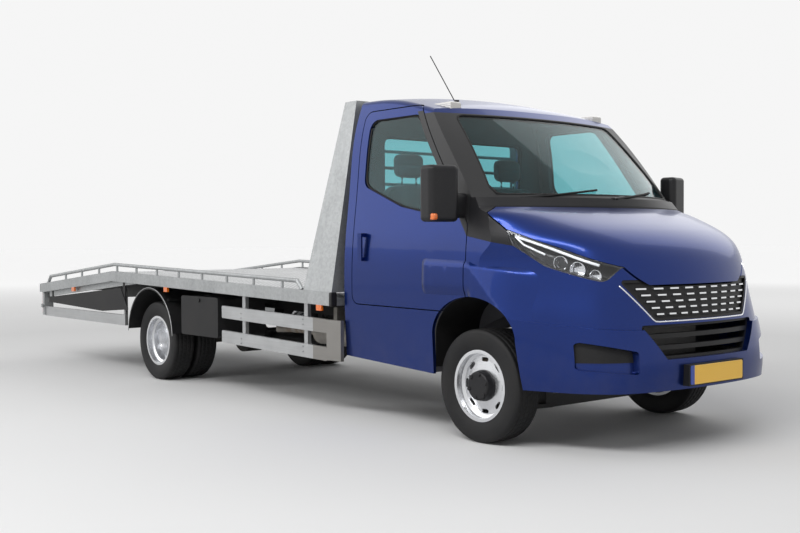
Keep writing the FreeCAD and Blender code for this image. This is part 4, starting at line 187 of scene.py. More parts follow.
def dress(paint, *names):
    """Gives frame nodes a finish in place of their plain one; "door" stands for its left and right node."""
    for name in names:
        for node in [name] if name in nodes else [name + "_left", name + "_right"]:
            slots = nodes[node].data.materials
            slots.clear()
            slots.append(paint.material)


# %% [markdown]
# ## Blue paint
# The cab's paint is a deep blue with fine metal flakes under a clear coat. Flakes are far smaller than
# a pixel, so what shows is a soft, grainy sheen under a sharp reflection; the grain is a high noise.
# Below the sills, road dust turns the paint greyer and duller. The pillars beside the glass are black
# and the cab's inside has a dark lining: masks, worked out from the panels' own surfaces, say where.

# %% Blue paint
half_width = 1.003
side_heights, side_widths = (0.7, 1.0, 1.3, 1.6, 1.85, 2.0), (1.003, 1.002, 0.995, 0.962, 0.925, 0.9)
rear_wall_x = front_axle_x - 1.27
roof_places, roof_heights = (rear_wall_x, front_axle_x - 0.82, front_axle_x - 0.375), (2.247, 2.214, 2.088)
roof_crown = 0.078
screen_x, screen_z, screen_lean, screen_rise = front_axle_x + 0.3, 1.49, -0.645, 0.57
screen_bow, bow_loss = 0.362, 0.186
side_depth, screen_depth, rear_depth = 0.024, 0.03, 0.02


def fitted(wire, places, values, degree):
    """Polynomial through measured points, as a sum of powers of one coordinate."""
    total = 0.0
    for power, factor in enumerate(np.polyfit(places, values, degree)[::-1]):
        total = (wire ** power if power > 1 else wire) * float(factor) + total if power else float(factor)
    return total


def lining_mask(paint):
    """1 where a point is two or three centimetres inside the sides, the roof, the windscreen and the rear."""
    x, y, z = (paint.axis(letter) for letter in "XYZ")
    side = fitted(z, side_heights, side_widths, 3)
    across = y * y / half_width ** 2
    roof = fitted(x, roof_places, roof_heights, 2) - across * roof_crown
    share = (z - screen_z) / screen_rise
    screen = share * screen_lean - (screen_bow - share * bow_loss) * across + screen_x
    mask = (x - (rear_wall_x + rear_depth)).above(0.0)
    for depth in (side - side_depth - abs(y), roof - side_depth - z, screen - screen_depth - x):
        mask = mask * depth.above(0.0)
    return mask


def pillar_mask(paint, foot, head):
    """1 ahead of a slanted line from foot (x, z) to head, between the line's own heights."""
    x, z = paint.axis("X"), paint.axis("Z")
    way = np.array(head) - np.array(foot)
    normal = np.array([way[1], -way[0]]) / np.hypot(*way)
    ahead = (x - foot[0]) * float(normal[0]) + (z - foot[1]) * float(normal[1])
    return ahead.above(0.0) * (head[1] - z).above(0.0) * (z - foot[1]).above(0.0)


def metallic_paint(name, pillar=None):
    """Colour = deep to bright blue by flake noise; dust = how low the point is times a soft noise.

    A panel with a pillar's line is black ahead of it and has the dark lining on its inside.
    """
    paint = Paint(name, Coat_Roughness=0.04, Coat_IOR=1.5)
    flakes = paint.noise(900.0, 2.0).ramp(0.35, 0.65)
    drift = paint.noise(1.3, 2.0)
    colour = paint.blend(flakes * 0.6 + drift * 0.3, (0.0018, 0.0105, 0.088), (0.005, 0.034, 0.22))
    dust = (1 - paint.axis("Z").ramp(0.36, 0.72)) * paint.noise(7.0, 5.0).ramp(0.32, 0.72) * 0.1
    colour = paint.blend(dust, colour, (0.15, 0.14, 0.13))
    metal, rough, coat = 0.82 - dust * 0.5, 0.28 + dust * 0.5, 0.34 - dust
    masks = ((pillar_mask(paint, *pillar), (0.01, 0.01, 0.011), 0.2),
             (lining_mask(paint), (0.09, 0.09, 0.1), 0.5)) if pillar else ()
    for mask, tone, duller in masks:
        colour = paint.blend(mask, colour, tone)
        metal, rough, coat = metal * (1 - mask), rough + mask * duller, coat * (1 - mask)
    return paint.feed(Base_Color=colour, Metallic=metal, Roughness=rough, Coat_Weight=coat)


shell_line = (front_axle_x - 0.057, 1.33), (front_axle_x - 0.568, 2.05)
door_line = (front_axle_x - 0.055, 1.256), (front_axle_x - 0.635, 2.07)
dress(metallic_paint("metallic_blue"), "fenders", "bonnet", "bumper")
dress(metallic_paint("shell_blue", shell_line), "cab_shell")
dress(metallic_paint("door_blue", door_line), "door")
print("blue panels dressed")

# %% [markdown]
# ## Galvanised steel
# Hot-dip galvanising leaves a dull zinc skin with faint spangles, a few centimetres across, that
# differ a little in brightness, and darker runs where water has stood. Voronoi cells give the
# spangles, because each cell has one value; a slow noise gives the clouds; a noise stretched along the
# vertical gives the runs.

# %% Galvanised steel
def zinc_paint():
    """Colour = spangle value + cloud + runs, all small; roughness follows the clouds."""
    paint = Paint("galvanised_zinc")
    spangle = paint.add("ShaderNodeSeparateColor", {}, [paint.cells(62.0, "Color")], "Red")
    cloud = paint.noise(3.0, 5.0)
    runs = paint.noise(1.0, 4.0, (22.0, 22.0, 2.0)).ramp(0.5, 0.8)
    tone = spangle * 0.16 + cloud * 0.6 - runs * 0.2
    paint.feed(Base_Color=paint.blend(tone, (0.27, 0.28, 0.283), (0.56, 0.572, 0.578)),
               Metallic=0.62 + cloud * 0.2, Roughness=0.42 + cloud * 0.22 - spangle * 0.06)
    return paint.bump(paint.noise(140.0, 2.0), 0.12, 0.0006)


zinc = zinc_paint()
dress(zinc, "deck_frame", "lashing_rails", "headboard", "lamp_carriers")
print("zinc dressed")

# %% [markdown]
# ## Aluminium planks
# The side guards are drawn aluminium: fine straight lines, which noise stretched along X draws, on a
# slightly scratched satin. The deck's planks are zinc-coated steel with rows of pressed holes. A wave
# along X times a wave along Y peaks once in each cell; a threshold on that peak is the hole, and a
# lower one is its raised lip. The hole is painted near black, as painted shade of the dark seen
# through it, and the lip is painted lighter, as a painted highlight.

# %% Planks
def drawn_paint():
    """Tone = noise stretched along the plank plus scratches; the plates at the front ends are browner."""
    paint = Paint("drawn_aluminium", Metallic=0.85)
    lines = paint.noise(1.0, 3.0, (3.0, 160.0, 160.0))
    marks = paint.noise(9.0, 4.0).ramp(0.4, 0.75)
    metal = paint.blend(lines * 0.5 + marks * 0.2, (0.36, 0.365, 0.37), (0.61, 0.62, 0.625))
    front = (paint.axis("X") - (front_axle_x - 1.605)).above(0.0) * 0.75
    paint.feed(Base_Color=paint.blend(front, metal, (0.2, 0.185, 0.165)),
               Roughness=0.34 + lines * 0.16 + marks * 0.1)
    return paint.bump(lines, 0.15, 0.0005)


def pressed_paint(pitch_x=0.05, pitch_y=0.0429):
    """Hole = sin(pi x / pitch)^2 times sin(pi y / pitch)^2 above a threshold; its lip is just below. The hole
    is painted near black (painted shade) and the lip lighter (painted highlight).
    """
    paint = Paint("pressed_planks")
    cell = paint.axis("X").wave(2 * pitch_x) * paint.axis("Y").wave(2 * pitch_y)
    peak = cell * cell
    hole = peak.ramp(0.60, 0.66)
    lip = peak.ramp(0.3, 0.58) * (1 - hole)
    cloud = paint.noise(4.0, 5.0)
    # Painted highlight: the raised lips are painted lighter. Painted shade: the holes are painted near black
    # below.
    metal = paint.blend(cloud * 0.7 + lip * 0.3, (0.5, 0.505, 0.51), (0.82, 0.83, 0.84))
    paint.feed(Base_Color=paint.blend(hole, metal, (0.02, 0.02, 0.02)),
               Metallic=0.65 - hole * 0.6, Roughness=0.42 + cloud * 0.2)
    return paint.bump(lip - hole, 0.6, 0.002)


drawn = drawn_paint()
dress(drawn, "side_guards")
dress(pressed_paint(), "deck_planks")
print("planks dressed")

# %% [markdown]
# ## Black plastics, rubber and the dark metal below
# Moulded plastic has a fine leather-like grain and no metal in it. The liners, flaps and skirts are
# the same plastic but dusty. The grille and the bumper's trim are painted darker than the rest, as
# painted shade of their recess. Tyres are duller still, and chassis paint is a thin satin black. One
# function with a few numbers makes all of them, because they differ only in tone, grain and dust.

# %% Dark finishes
def dark_paint(name, tone, rough, dust, grain=900.0, grain_strength=0.25, metal=0.0):
    """Colour = a dark tone, moved by noise, with dust where a cloudy noise is high."""
    paint = Paint(name, Metallic=metal, Specular_IOR_Level=0.3)
    cloud = paint.noise(5.0, 6.0)
    film = cloud.ramp(0.36, 0.8) * dust
    body = paint.blend(paint.noise(40.0), tuple(0.8 * value for value in tone), tone)
    paint.feed(Base_Color=paint.blend(film, body, (0.2, 0.18, 0.155)), Roughness=rough + film * 0.3)
    return paint.bump(paint.noise(grain, 2.0), grain_strength, 0.0004)


grained = dark_paint("grained_plastic", (0.011, 0.011, 0.013), 0.42, 0.03)
rubber = dark_paint("tyre_rubber", (0.009, 0.009, 0.01), 0.62, 0.04, 420.0, 0.15)
dress(grained, "cowl", "antenna", "wipers", "door_trim", "hub_cover")
dress(rubber, "tyre_front", "tyres_rear")
# Bumper trim and grille: black plastic, made darker than the other plastics as painted shade of the recessed
# intake and grille.
dress(dark_paint("recess_shade_plastic", (0.006, 0.006, 0.007), 0.5, 0.03), "bumper_trim", "grille")
dress(dark_paint("dusty_plastic", (0.009, 0.009, 0.01), 0.55, 0.04), "arch_liners", "mudguards", "toolboxes",
      "toolbox_lid", "rear_aprons", "fuel_tank")
dress(dark_paint("chassis_satin", (0.011, 0.011, 0.012), 0.42, 0.06, 60.0, 0.1), "chassis_frame",
      "front_suspension", "leaf_springs", "propshaft")
dress(dark_paint("cast_iron", (0.05, 0.048, 0.045), 0.6, 0.2, 120.0, 0.4, 0.5), "rear_axle", "knuckle")
dress(dark_paint("interior_moulding", (0.045, 0.046, 0.05), 0.55, 0.04, 700.0, 0.3), "dashboard",
      "steering_wheel")
dress(dark_paint("engine_castings", (0.14, 0.14, 0.14), 0.5, 0.35, 90.0, 0.3, 0.6), "engine_block")
print("dark parts dressed")

# %% [markdown]
# ## Wheels, chrome, exhaust and mirrors
# The steel wheels are painted silver: bright but not mirror-like, with clouds of brake dust. Chrome is
# nearly smooth. The exhaust is plain steel, browned by heat in bands along its length.

# %% Bright finishes
def silver_paint():
    """Tone = fine grain plus brake dust by cloudy noise."""
    paint = Paint("wheel_silver", Coat_Weight=0.25, Coat_Roughness=0.15)
    dust = paint.noise(4.0).ramp(0.42, 0.78) * 0.12
    metal = paint.blend(paint.noise(500.0, 2.0), (0.62, 0.63, 0.65), (0.78, 0.79, 0.81))
    return paint.feed(Base_Color=paint.blend(dust, metal, (0.2, 0.17, 0.14)), Metallic=0.9 - dust,
                      Roughness=0.22 + dust * 0.5)


def chrome_paint():
    """Bright metal whose roughness is barely clouded."""
    paint = Paint("bright_chrome", Metallic=1.0)
    return paint.feed(Base_Color=paint.blend(paint.noise(20.0), (0.72, 0.73, 0.75), (0.82, 0.83, 0.85)),
                      Roughness=0.07 + paint.noise(60.0) * 0.08)


def heat_paint():
    """Bands of grey, straw and brown along X by a stretched noise."""
    paint = Paint("exhaust_steel")
    bands = paint.noise(1.0, 3.0, (6.0, 1.5, 1.5))
    stops = [(0.3, (0.2, 0.19, 0.18)), (0.7, (0.16, 0.1, 0.06)), (0.52, (0.34, 0.32, 0.29))]
    colour = paint.add("ShaderNodeValToRGB", {"stops": stops}, [bands])
    return paint.feed(Base_Color=colour, Metallic=0.6 + bands * 0.2,
                      Roughness=0.45 + paint.noise(30.0) * 0.25)


chrome = chrome_paint()
dress(silver_paint(), "rim_front", "rims_rear")
dress(chrome, "grille_dashes", "mirror_glass")
dress(heat_paint(), "exhaust")
print("bright parts dressed")

# %% [markdown]
# ## Glass and lenses
# Window glass is a thin sheet of clear, slightly green glass. A sheet this thin moves what lies behind
# it by less than a pixel, so its index is set just above 1, which renders cleaner, and a clear coat
# gives the reflection. The tint comes from the base colour. Amber, red and pearl lenses are solid
# colours, painted darker in a sine pattern over small prisms as painted shade of the prisms' facets;
# the prisms are also drawn as a bump.

# %% Clear finishes
def clear_paint(name, tint):
    """Transmission with a tint under a clear coat, smeared a little by a slow noise."""
    paint = Paint(name, Transmission_Weight=1.0, IOR=1.02, Coat_Weight=0.5, Coat_Roughness=0.02)
    smear = paint.noise(3.0, 4.0)
    shade = tuple(0.94 * value for value in tint)
    return paint.feed(Base_Color=paint.blend(smear, shade, tint), Roughness=smear * 0.015)


def lens_paint(name, tint, pitch):
    """Coloured lens: tint darkens over small square prisms, sin along Y times sin along Z, as painted shade
    of their facets.
    """
    paint = Paint(name, Coat_Weight=0.8, Coat_Roughness=0.05)
    prism = paint.axis("Y").wave(pitch) * paint.axis("Z").wave(pitch)
    # Painted shade: each prism's tint falls to 55% in a sine pattern.
    dark = tuple(0.55 * value for value in tint)
    paint.feed(Base_Color=paint.blend(prism * 0.5 + 0.5, dark, tint), Roughness=0.16 + prism * 0.04)
    return paint.bump(prism)


cover = clear_paint("lamp_cover", (0.97, 0.98, 0.99))
amber = lens_paint("amber_lens", (0.98, 0.2, 0.01), 0.008)
dress(clear_paint("window_glass", (0.36, 0.67, 0.7)), "cab_glass", "door_glass")
dress(cover, "headlamp_lenses")
dress(amber, "side_markers")
dress(lens_paint("red_lens", (0.62, 0.012, 0.012), 0.01), "rear_lamps")
dress(lens_paint("roof_lamp_lens", (0.86, 0.84, 0.8), 0.012), "roof_lamps")
dress(dark_paint("lamp_bowl", (0.05, 0.051, 0.055), 0.2, 0.0, 300.0, 0.05), "headlamp_housings")
print("glass dressed")

# %% [markdown]
# ## Seat cloth
# The seats are covered in a dark woven cloth. Two sine waves at right angles, a few millimetres apart,
# give the weave's ups and downs; the same pattern paints the threads on top lighter and the dips
# between them darker, as painted light and shade.

# %% Seat cloth
def cloth_paint(pitch=0.004):
    """Weave = sin(x) sin(y + z) at the pitch; the bump follows it, and so does the colour, as painted light
    and shade: tops lighter, dips darker.
    """
    paint = Paint("seat_cloth", Sheen_Weight=0.3, Sheen_Roughness=0.6)
    weave = paint.axis("X").wave(pitch) * (paint.axis("Y") + paint.axis("Z")).wave(pitch) * 0.5 + 0.5
    # Painted light and shade: the weave's tops are painted lighter and its dips darker.
    paint.feed(Base_Color=paint.blend(weave, (0.035, 0.037, 0.042), (0.085, 0.088, 0.098)),
               Roughness=0.85 + weave * 0.1)
    return paint.bump(weave, 0.4)


cloth = cloth_paint()
dress(cloth, "seat_cushions", "seat_backs")
print("seats dressed")

# %% [markdown]
# ## Building surfaces as arrays
# Most added pieces are a sheet of points worked out from two parameters. `grid_quads` numbers the faces
# of such a grid: rows run along one parameter, columns along the other, and either way may close on
# itself. `piece` puts a mesh into the scene with a finish and the body that carries it.

# %% Grid to mesh
def grid_quads(rows, columns, wrap_rows=False, wrap_columns=False):
    """Corner numbers of every quad between neighbouring rows and columns of a grid."""
    first = np.arange(rows if wrap_rows else rows - 1)[:, None]
    second = np.arange(columns if wrap_columns else columns - 1)[None, :]
    below, beside = (first + 1) % rows, (second + 1) % columns
    corners = np.broadcast_arrays(first * columns + second, below * columns + second,
                                  below * columns + beside, first * columns + beside)
    return np.stack(corners, axis=-1).reshape(-1, 4)


def surface(name, points, faces, paint):
    """Mesh object from points and faces, with one finish."""
    mesh = bpy.data.meshes.new(name)
    mesh.from_pydata(np.asarray(points).tolist(), [], np.asarray(faces).tolist())
    mesh.validate()
    mesh.materials.append(paint.material)
    thing = bpy.data.objects.new(name, mesh)
    bpy.context.scene.collection.objects.link(thing)
    return thing


def piece(name, points, quads, paint, body, smooth=True):
    """A surface on its body, with doubles merged and every face turned outwards."""
    thing = surface(name, points, quads, paint)
    bm = bmesh.new()
    bm.from_mesh(thing.data)
    bmesh.ops.remove_doubles(bm, verts=bm.verts, dist=1e-5)
    bmesh.ops.recalc_face_normals(bm, faces=bm.faces)
    bm.to_mesh(thing.data)
    bm.free()
    thing.data.polygons.foreach_set("use_smooth", [smooth] * len(thing.data.polygons))
    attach(thing, body)
    return thing


def together(parts):
    """Several (points, quads) pairs as one pair."""
    starts = np.cumsum([0] + [len(points) for points, quads in parts[:-1]])
    return (np.concatenate([points for points, quads in parts]),
            np.concatenate([quads + start for (points, quads), start in zip(parts, starts)]))


def turned_form(profile, steps, middle, depth):
    """Points (r, y) of a closed profile, turned about a level axis; depth changes r by angle and y."""
    angle = np.linspace(0, 2 * np.pi, steps, endpoint=False)[:, None]
    radius = profile[None, :, 0] + depth(angle, profile[None, :, 1])
    across = np.broadcast_to(profile[None, :, 1], radius.shape)
    points = np.stack([middle[0] + radius * np.sin(angle), middle[1] + across,
                       middle[2] + radius * np.cos(angle)], axis=-1)
    return points.reshape(-1, 3), grid_quads(steps, len(profile), True, True)


def tube_form(path, radius, sides=10, closed=False):
    """Round tube along a path: at each point, a ring square to the way on; open ends close in a point."""
    path = np.asarray(path, dtype=float)
    ahead = np.roll(path, -1, 0) - np.roll(path, 1, 0)
    if not closed:
        ahead[0], ahead[-1] = path[1] - path[0], path[-1] - path[-2]
    ahead /= np.linalg.norm(ahead, axis=1, keepdims=True)
    helper = np.where(np.abs(ahead[:, 2:3]) < 0.9, (0.0, 0.0, 1.0), (1.0, 0.0, 0.0))
    first = np.cross(helper, ahead)
    first /= np.linalg.norm(first, axis=1, keepdims=True)
    second = np.cross(ahead, first)
    angle = np.linspace(0, 2 * np.pi, sides, endpoint=False)[None, :, None]
    rings = path[:, None] + radius * (first[:, None] * np.cos(angle) + second[:, None] * np.sin(angle))
    if not closed:
        foot, head = (np.repeat(path[end][None, None], sides, 1) for end in (0, -1))
        rings = np.concatenate([foot, rings, head])
    return rings.reshape(-1, 3), grid_quads(len(rings), sides, closed, True)


def pillow_form(middle, half, power, cells):
    """Rounded box: a cube's points divided by their power norm, then stretched to half sizes."""
    spread = np.tan(np.linspace(-1, 1, cells + 1) * np.pi / 4)
    first, second = (part.ravel() for part in np.meshgrid(spread, spread, indexing="ij"))
    quads, parts = grid_quads(cells + 1, cells + 1), []
    for axis in range(3):
        for side in (-1.0, 1.0):
            face = np.stack([np.full_like(first, side), first, second], -1)
            parts.append((np.roll(face, axis, 1), quads if side > 0 else quads[:, ::-1]))
    points, quads = together(parts)
    points = points / (np.abs(points) ** power).sum(1, keepdims=True) ** (1 / power)
    return points * np.asarray(half) + np.asarray(middle), quads


print("surface tools ready")

# %% [markdown]
# ## Tyres
# A van tyre has a shallow rounded shoulder, four grooves round its tread, and cross cuts between them
# that step from rib to rib. Real cuts would be thousands of small faces; here the tread is one turned
# surface whose radius dips where a groove or a cut lies, so the pattern is a formula. The sidewall has
# a small rim guard and stays free of words.

# %% Tyre surface
tyre_radius, tyre_half, bead_radius, bead_half = 0.347, 0.0975, 0.2063, 0.075
groove_places = np.array([-0.057, -0.019, 0.019, 0.057])
groove_half, cut_pitches, tread_half, tread_dip = 0.0062, 58, 0.081, 0.0075


def tyre_profile():
    """Closed line (r, y): bead, bulged sidewall, rounded shoulder, plain tread and back inside."""
    rise = np.linspace(0, 1, 16)
    wall_r = bead_radius + 0.004 + rise * 0.105
    wall_y = bead_half + (tyre_half - bead_half) * np.sin(rise * np.pi * 0.62) ** 0.8
    wall_r[3] += 0.002
    turn = np.linspace(0.12, 1, 7) * np.pi / 2
    shoulder_r = wall_r[-1] + (tyre_radius - 0.0025 - wall_r[-1]) * np.sin(turn)
    shoulder_y = wall_y[-1] - 0.020 * (1 - np.cos(turn))
    across = np.linspace(shoulder_y[-1] - 0.003, 0, 24)[:-1]
    crown = tyre_radius - 0.0025 * (across / shoulder_y[-1]) ** 2
    right_r = np.concatenate([wall_r, shoulder_r, crown])
    right_y = np.concatenate([wall_y, shoulder_y, across])
    radius = np.concatenate([right_r, [tyre_radius], right_r[::-1]])
    place = np.concatenate([right_y, [0.0], -right_y[::-1]])
    inner = np.array([[bead_radius, -bead_half], [bead_radius + 0.02, -bead_half + 0.012],
                      [bead_radius + 0.02, bead_half - 0.012], [bead_radius, bead_half]])
    return np.concatenate([np.stack([radius, place], -1), inner])


def tread_depth(angle, across):
    """Dip = four round grooves plus cross cuts, each rib's cuts shifted by half a pitch."""
    on_tread = np.clip((tread_half - np.abs(across)) / 0.004, 0, 1)
    ring = np.min(np.abs(across[..., None] - groove_places), axis=-1)
    groove = np.clip((groove_half - ring) / 0.002, 0, 1)
    rib = np.searchsorted(groove_places, across.ravel()).reshape(across.shape)
    turn = angle * cut_pitches / (2 * np.pi) + rib * 0.5 + np.abs(across) * 6.0
    cut = np.clip((np.abs((turn % 1.0) - 0.5) - 0.41) / 0.05, 0, 1)
    return -tread_dip * np.maximum(groove, cut * 0.62) * on_tread


profile = tyre_profile()
turned_steps = 6 * cut_pitches
wheel_x = {"front": front_axle_x, "rear": front_axle_x - 4.100}
wheel_line, twin_line, twin_half = 0.862, 0.770, 0.113
for side, sign in both_sides:
    for end, node, lines in (("front", "tyre_front_", (wheel_line,)),
                             ("rear", "tyres_rear_", (twin_line - twin_half, twin_line + twin_half))):
        forms = [turned_form(profile, turned_steps, (wheel_x[end], sign * line, tyre_radius), tread_depth)
                 for line in lines]
        tyre = piece(f"tread_{end}_{side}", *together(forms), rubber, f"wheel_{end}_{side}")
        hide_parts(node + side)
        print(tyre.name, "faces:", len(tyre.data.polygons))

# %% [markdown]
# ## Finding a surface
# A seal or a bolt has to lie on the metal it belongs to. Instead of guessing its depth, a ray is sent
# from outside towards the frame's own mesh, and the first point it meets is the place. `dropped` does
# this for a whole outline, whose corners `rounded` has rounded and whose points `spaced` has spaced.

# %% Rays and outlines
trees = {}
beside = 1.3


def mm(x, y, z):
    """A place given in millimetres from the front axle, as metres in the truck's frame."""
    return np.array([x / 1000 + front_axle_x, y / 1000, z / 1000])


def meet(name, start, way):
    """First point and outward normal where a ray meets a node, or None."""
    if name not in trees:
        trees[name] = BVHTree.FromObject(nodes[name], bpy.context.evaluated_depsgraph_get())
    point, normal, index, distance = trees[name].ray_cast(Vector(start), Vector(way))
    return None if point is None else (np.array(point), np.array(normal))


def found(name, starts, way):
    """Points and normals where parallel rays meet a node, without the rays that miss."""
    return [hit for hit in (meet(name, start, way) for start in starts) if hit]


def rounded(corners, radius, steps=6):
    """Closed outline in two values: each corner is replaced by a quadratic curve between its sides."""
    corners = np.asarray(corners, dtype=float)
    before, after = np.roll(corners, 1, 0) - corners, np.roll(corners, -1, 0) - corners
    lengths = [np.linalg.norm(side, axis=1, keepdims=True) for side in (before, after)]
    reach = np.minimum(radius, 0.45 * np.minimum(*lengths))
    start, end = corners + before / lengths[0] * reach, corners + after / lengths[1] * reach
    share = np.linspace(0, 1, steps)[None, :, None]
    curve = ((1 - share) ** 2 * start[:, None] + 2 * share * (1 - share) * corners[:, None]
             + share ** 2 * end[:, None])
    return curve.reshape(-1, 2)


def spaced(path, gap, closed=True):
    """The same path with points at an even gap along it."""
    path = np.concatenate([path, path[:1]]) if closed else np.asarray(path, dtype=float)
    along = np.concatenate([[0], np.cumsum(np.linalg.norm(np.diff(path, axis=0), axis=1))])
    marks = np.linspace(0, along[-1], max(int(along[-1] / gap), 8) + 1)
    marks = marks[:-1] if closed else marks
    return np.stack([np.interp(marks, along, path[:, column]) for column in range(path.shape[1])], -1)


def dropped(path, plane, way, names, lift=0.0, slack=0.03):
    """Puts each (a, b) point of a closed path onto a surface: plane turns it into a start, way is the ray.

    A ray that slips through the gap at a pane's edge goes too far, so a point is left out where its
    distance differs from the median of itself and its eight neighbours.
    """
    starts = np.array([plane(first, second) for first, second in path])
    far = []
    for start in starts:
        hits = [hit for name in names for hit in found(name, [start], way)]
        far.append(min((np.linalg.norm(point - start) for point, normal in hits), default=np.inf))
    far = np.array(far)
    around = np.median([np.roll(far, shift) for shift in range(-4, 5)], axis=0)
    kept = np.isfinite(far) & np.isfinite(around)
    kept[kept] = np.abs(far[kept] - around[kept]) < slack
    return starts[kept] + np.asarray(way) * (far[kept, None] - lift)


def drawn_in(corners, share=0.99):
    """The corners of an outline, moved a little towards their middle."""
    corners = np.asarray(corners, dtype=float)
    return corners.mean(0) + (corners - corners.mean(0)) * share


print("rays ready")

# %% [markdown]
# ## Wheel nuts and valves
# Each wheel is held by six nuts. A nut is a six-sided ring of points carried through four heights: the
# foot, the shoulder, a chamfer and the top. The front nuts sit on the black cover, the rear ones stand
# round the hub on the silver disc. Every wheel also has one short rubber valve.

# %% Nuts
def nut_form(middle, sign, across, height, sides=6):
    """Rings of a nut (r, rise): (1, 0), (1, .75), (.86, 1), (0, 1), and closed at the foot."""
    rings = np.array([(0, 0), (1, 0), (1, 0.75), (0.86, 1), (0, 1)])
    angle = np.linspace(0, 2 * np.pi, sides, endpoint=False)
    radius = rings[:, :1] * across
    rise = np.broadcast_to(sign * height * rings[:, 1:], (len(rings), sides))
    points = np.stack([middle[0] + radius * np.cos(angle), middle[1] + rise,
                       middle[2] + radius * np.sin(angle)], -1)
    return points.reshape(-1, 3), grid_quads(len(rings), sides, False, True)


def nuts_on(node, spots, sign, across, height, sides=6):
    """Nuts or bolts, a millimetre deep where rays from beside the truck meet a node."""
    return together([nut_form(point - (0, sign * 0.001, 0), sign, across, height, sides)
                     for point, normal in found(node, spots, (0, -sign, 0))])


def wheel_circle(end, sign, radius):
    """Places of six nuts beside the truck, evenly spaced on a circle round a wheel's middle."""
    return [(wheel_x[end] + radius * np.cos(turn), sign * beside, tyre_radius + radius * np.sin(turn))
            for turn in np.arange(6) * np.pi / 3 + 0.3]


for side, sign in both_sides:
    for end, seat, paint, radius, size in (("rear", "rims_rear_", zinc, 0.1025, (0.0135, 0.02)),
                                           ("front", "hub_cover_", grained, 0.074, (0.013, 0.008))):
        nuts = nuts_on(seat + side, wheel_circle(end, sign, radius), sign, *size)
        piece(f"nuts_{end}_{side}", *nuts, paint, f"wheel_{end}_{side}", smooth=False)
    for end, rim in (("front", "rim_front_"), ("rear", "rims_rear_")):
        spot = (wheel_x[end] + 0.12, sign * beside, tyre_radius + 0.14)
        foot, normal = meet(rim + side, spot, (0, -sign, 0))
        stem = [foot + (x, sign * y, x) for x, y in ((0, -0.002), (0, 0.012), (-0.004, 0.03))]
        piece(f"valve_{end}_{side}", *tube_form(stem, 0.0042, 8), rubber, f"wheel_{end}_{side}")
print("nuts and valves set")

# %% [markdown]
# ## Chrome edge of the grille
# A thin bright strip follows the sides and the foot of the grille's opening and stops below the
# bonnet's lip. Its outline is the opening's own, seen from the front; rays from ahead find how far
# forward the painted panel stands at each point.

# %% Grille strip
half_strip = [(0.41, 0.759), (0.436, 0.762), (0.452, 0.774), (0.628, 0.962), (0.634, 0.968)]
strip = spaced([(-y, z) for y, z in half_strip[::-1]] + half_strip, 0.012, False)
strip = dropped(strip, lambda y, z: np.array([front_axle_x + 1.3, y, z]), (-1, 0, 0),
                ("fenders", "grille", "bumper"), -0.001)
piece("grille_strip", *tube_form(strip, 0.0048, 8), chrome, "body")
print("grille strip points:", len(strip))

# %% [markdown]
# ## Inside the headlamps
# Behind each clear cover stand a folded light guide, three bright bowls with a round lens in each, and
# a dark step below. The guide is a tube that follows the cover's own form a little way inside it. A
# bowl is a paraboloid, turned about a direction between straight ahead and the way the cover faces.

# %% Headlamp parts
def inner_path(corners, sign, inward, gap=12.0):
    """A path in side view (x, z) in mm, dropped onto the lamp's cover from the side and moved inwards."""
    starts = [mm(x, sign * 1000 * beside, z) for x, z in spaced(corners, gap, False)]
    hits = found("headlamp_lenses", starts, (0, -sign, 0))
    return np.array([point - normal * inward for point, normal in hits])


def facing_form(line, middle, facing, sides, closed):
    """A line (r, rise) turned about its facing direction."""
    facing = facing / np.linalg.norm(facing)
    first = np.cross(facing, (0, 0, 1.0))
    first /= np.linalg.norm(first)
    second = np.cross(facing, first)
    angle = np.linspace(0, 2 * np.pi, sides, endpoint=False)[None, :, None]
    spoke = first * np.cos(angle) + second * np.sin(angle)
    points = middle + line[:, None, 1:] * facing + line[:, None, :1] * spoke
    return points.reshape(-1, 3), grid_quads(len(line), sides, closed, True)


def bowl_form(middle, facing, radius, depth, wall=0.003, rings=10, sides=32):
    """Double-walled paraboloid: rise = depth (r / radius)^2."""
    share = np.linspace(0, 1, rings)
    inside = np.stack([radius * share, depth * share ** 2], -1)
    outside = np.stack([(radius + wall) * share, depth * share ** 2 - wall], -1)[::-1]
    outside[0] = (radius + wall, depth)
    return facing_form(np.concatenate([inside, outside]), middle, facing, sides, True)


def dome_form(middle, facing, radius, rise, foot=-0.004, rings=8, sides=24):
    """Closed lens: front rise sqrt(1 - r^2), flat back at its foot."""
    share = np.linspace(0, 1, rings)
    front = np.stack([radius * share, rise * np.sqrt(1 - share ** 2)], -1)
    back = np.stack([radius * share[-2::-1], np.full(rings - 1, foot)], -1)
    return facing_form(np.concatenate([front, back]), middle, facing, sides, False)


def guide_paint():
    """Milky light guide with faint cross ribs; a weak emission, a painted glow, makes it a little brighter
    than white plastic.
    """
    # Painted glow: the guide gives off a little light in its own colour.
    paint = Paint("light_guide", Coat_Weight=1.0, Emission_Strength=0.25)
    rib = (paint.axis("X").wave(0.006) * 0.5 + 0.5) * 0.4
    colour = paint.blend(rib, (0.92, 0.93, 0.95), (0.7, 0.72, 0.76))
    return paint.feed(Base_Color=colour, Emission_Color=colour, Roughness=0.2 + rib * 0.2)


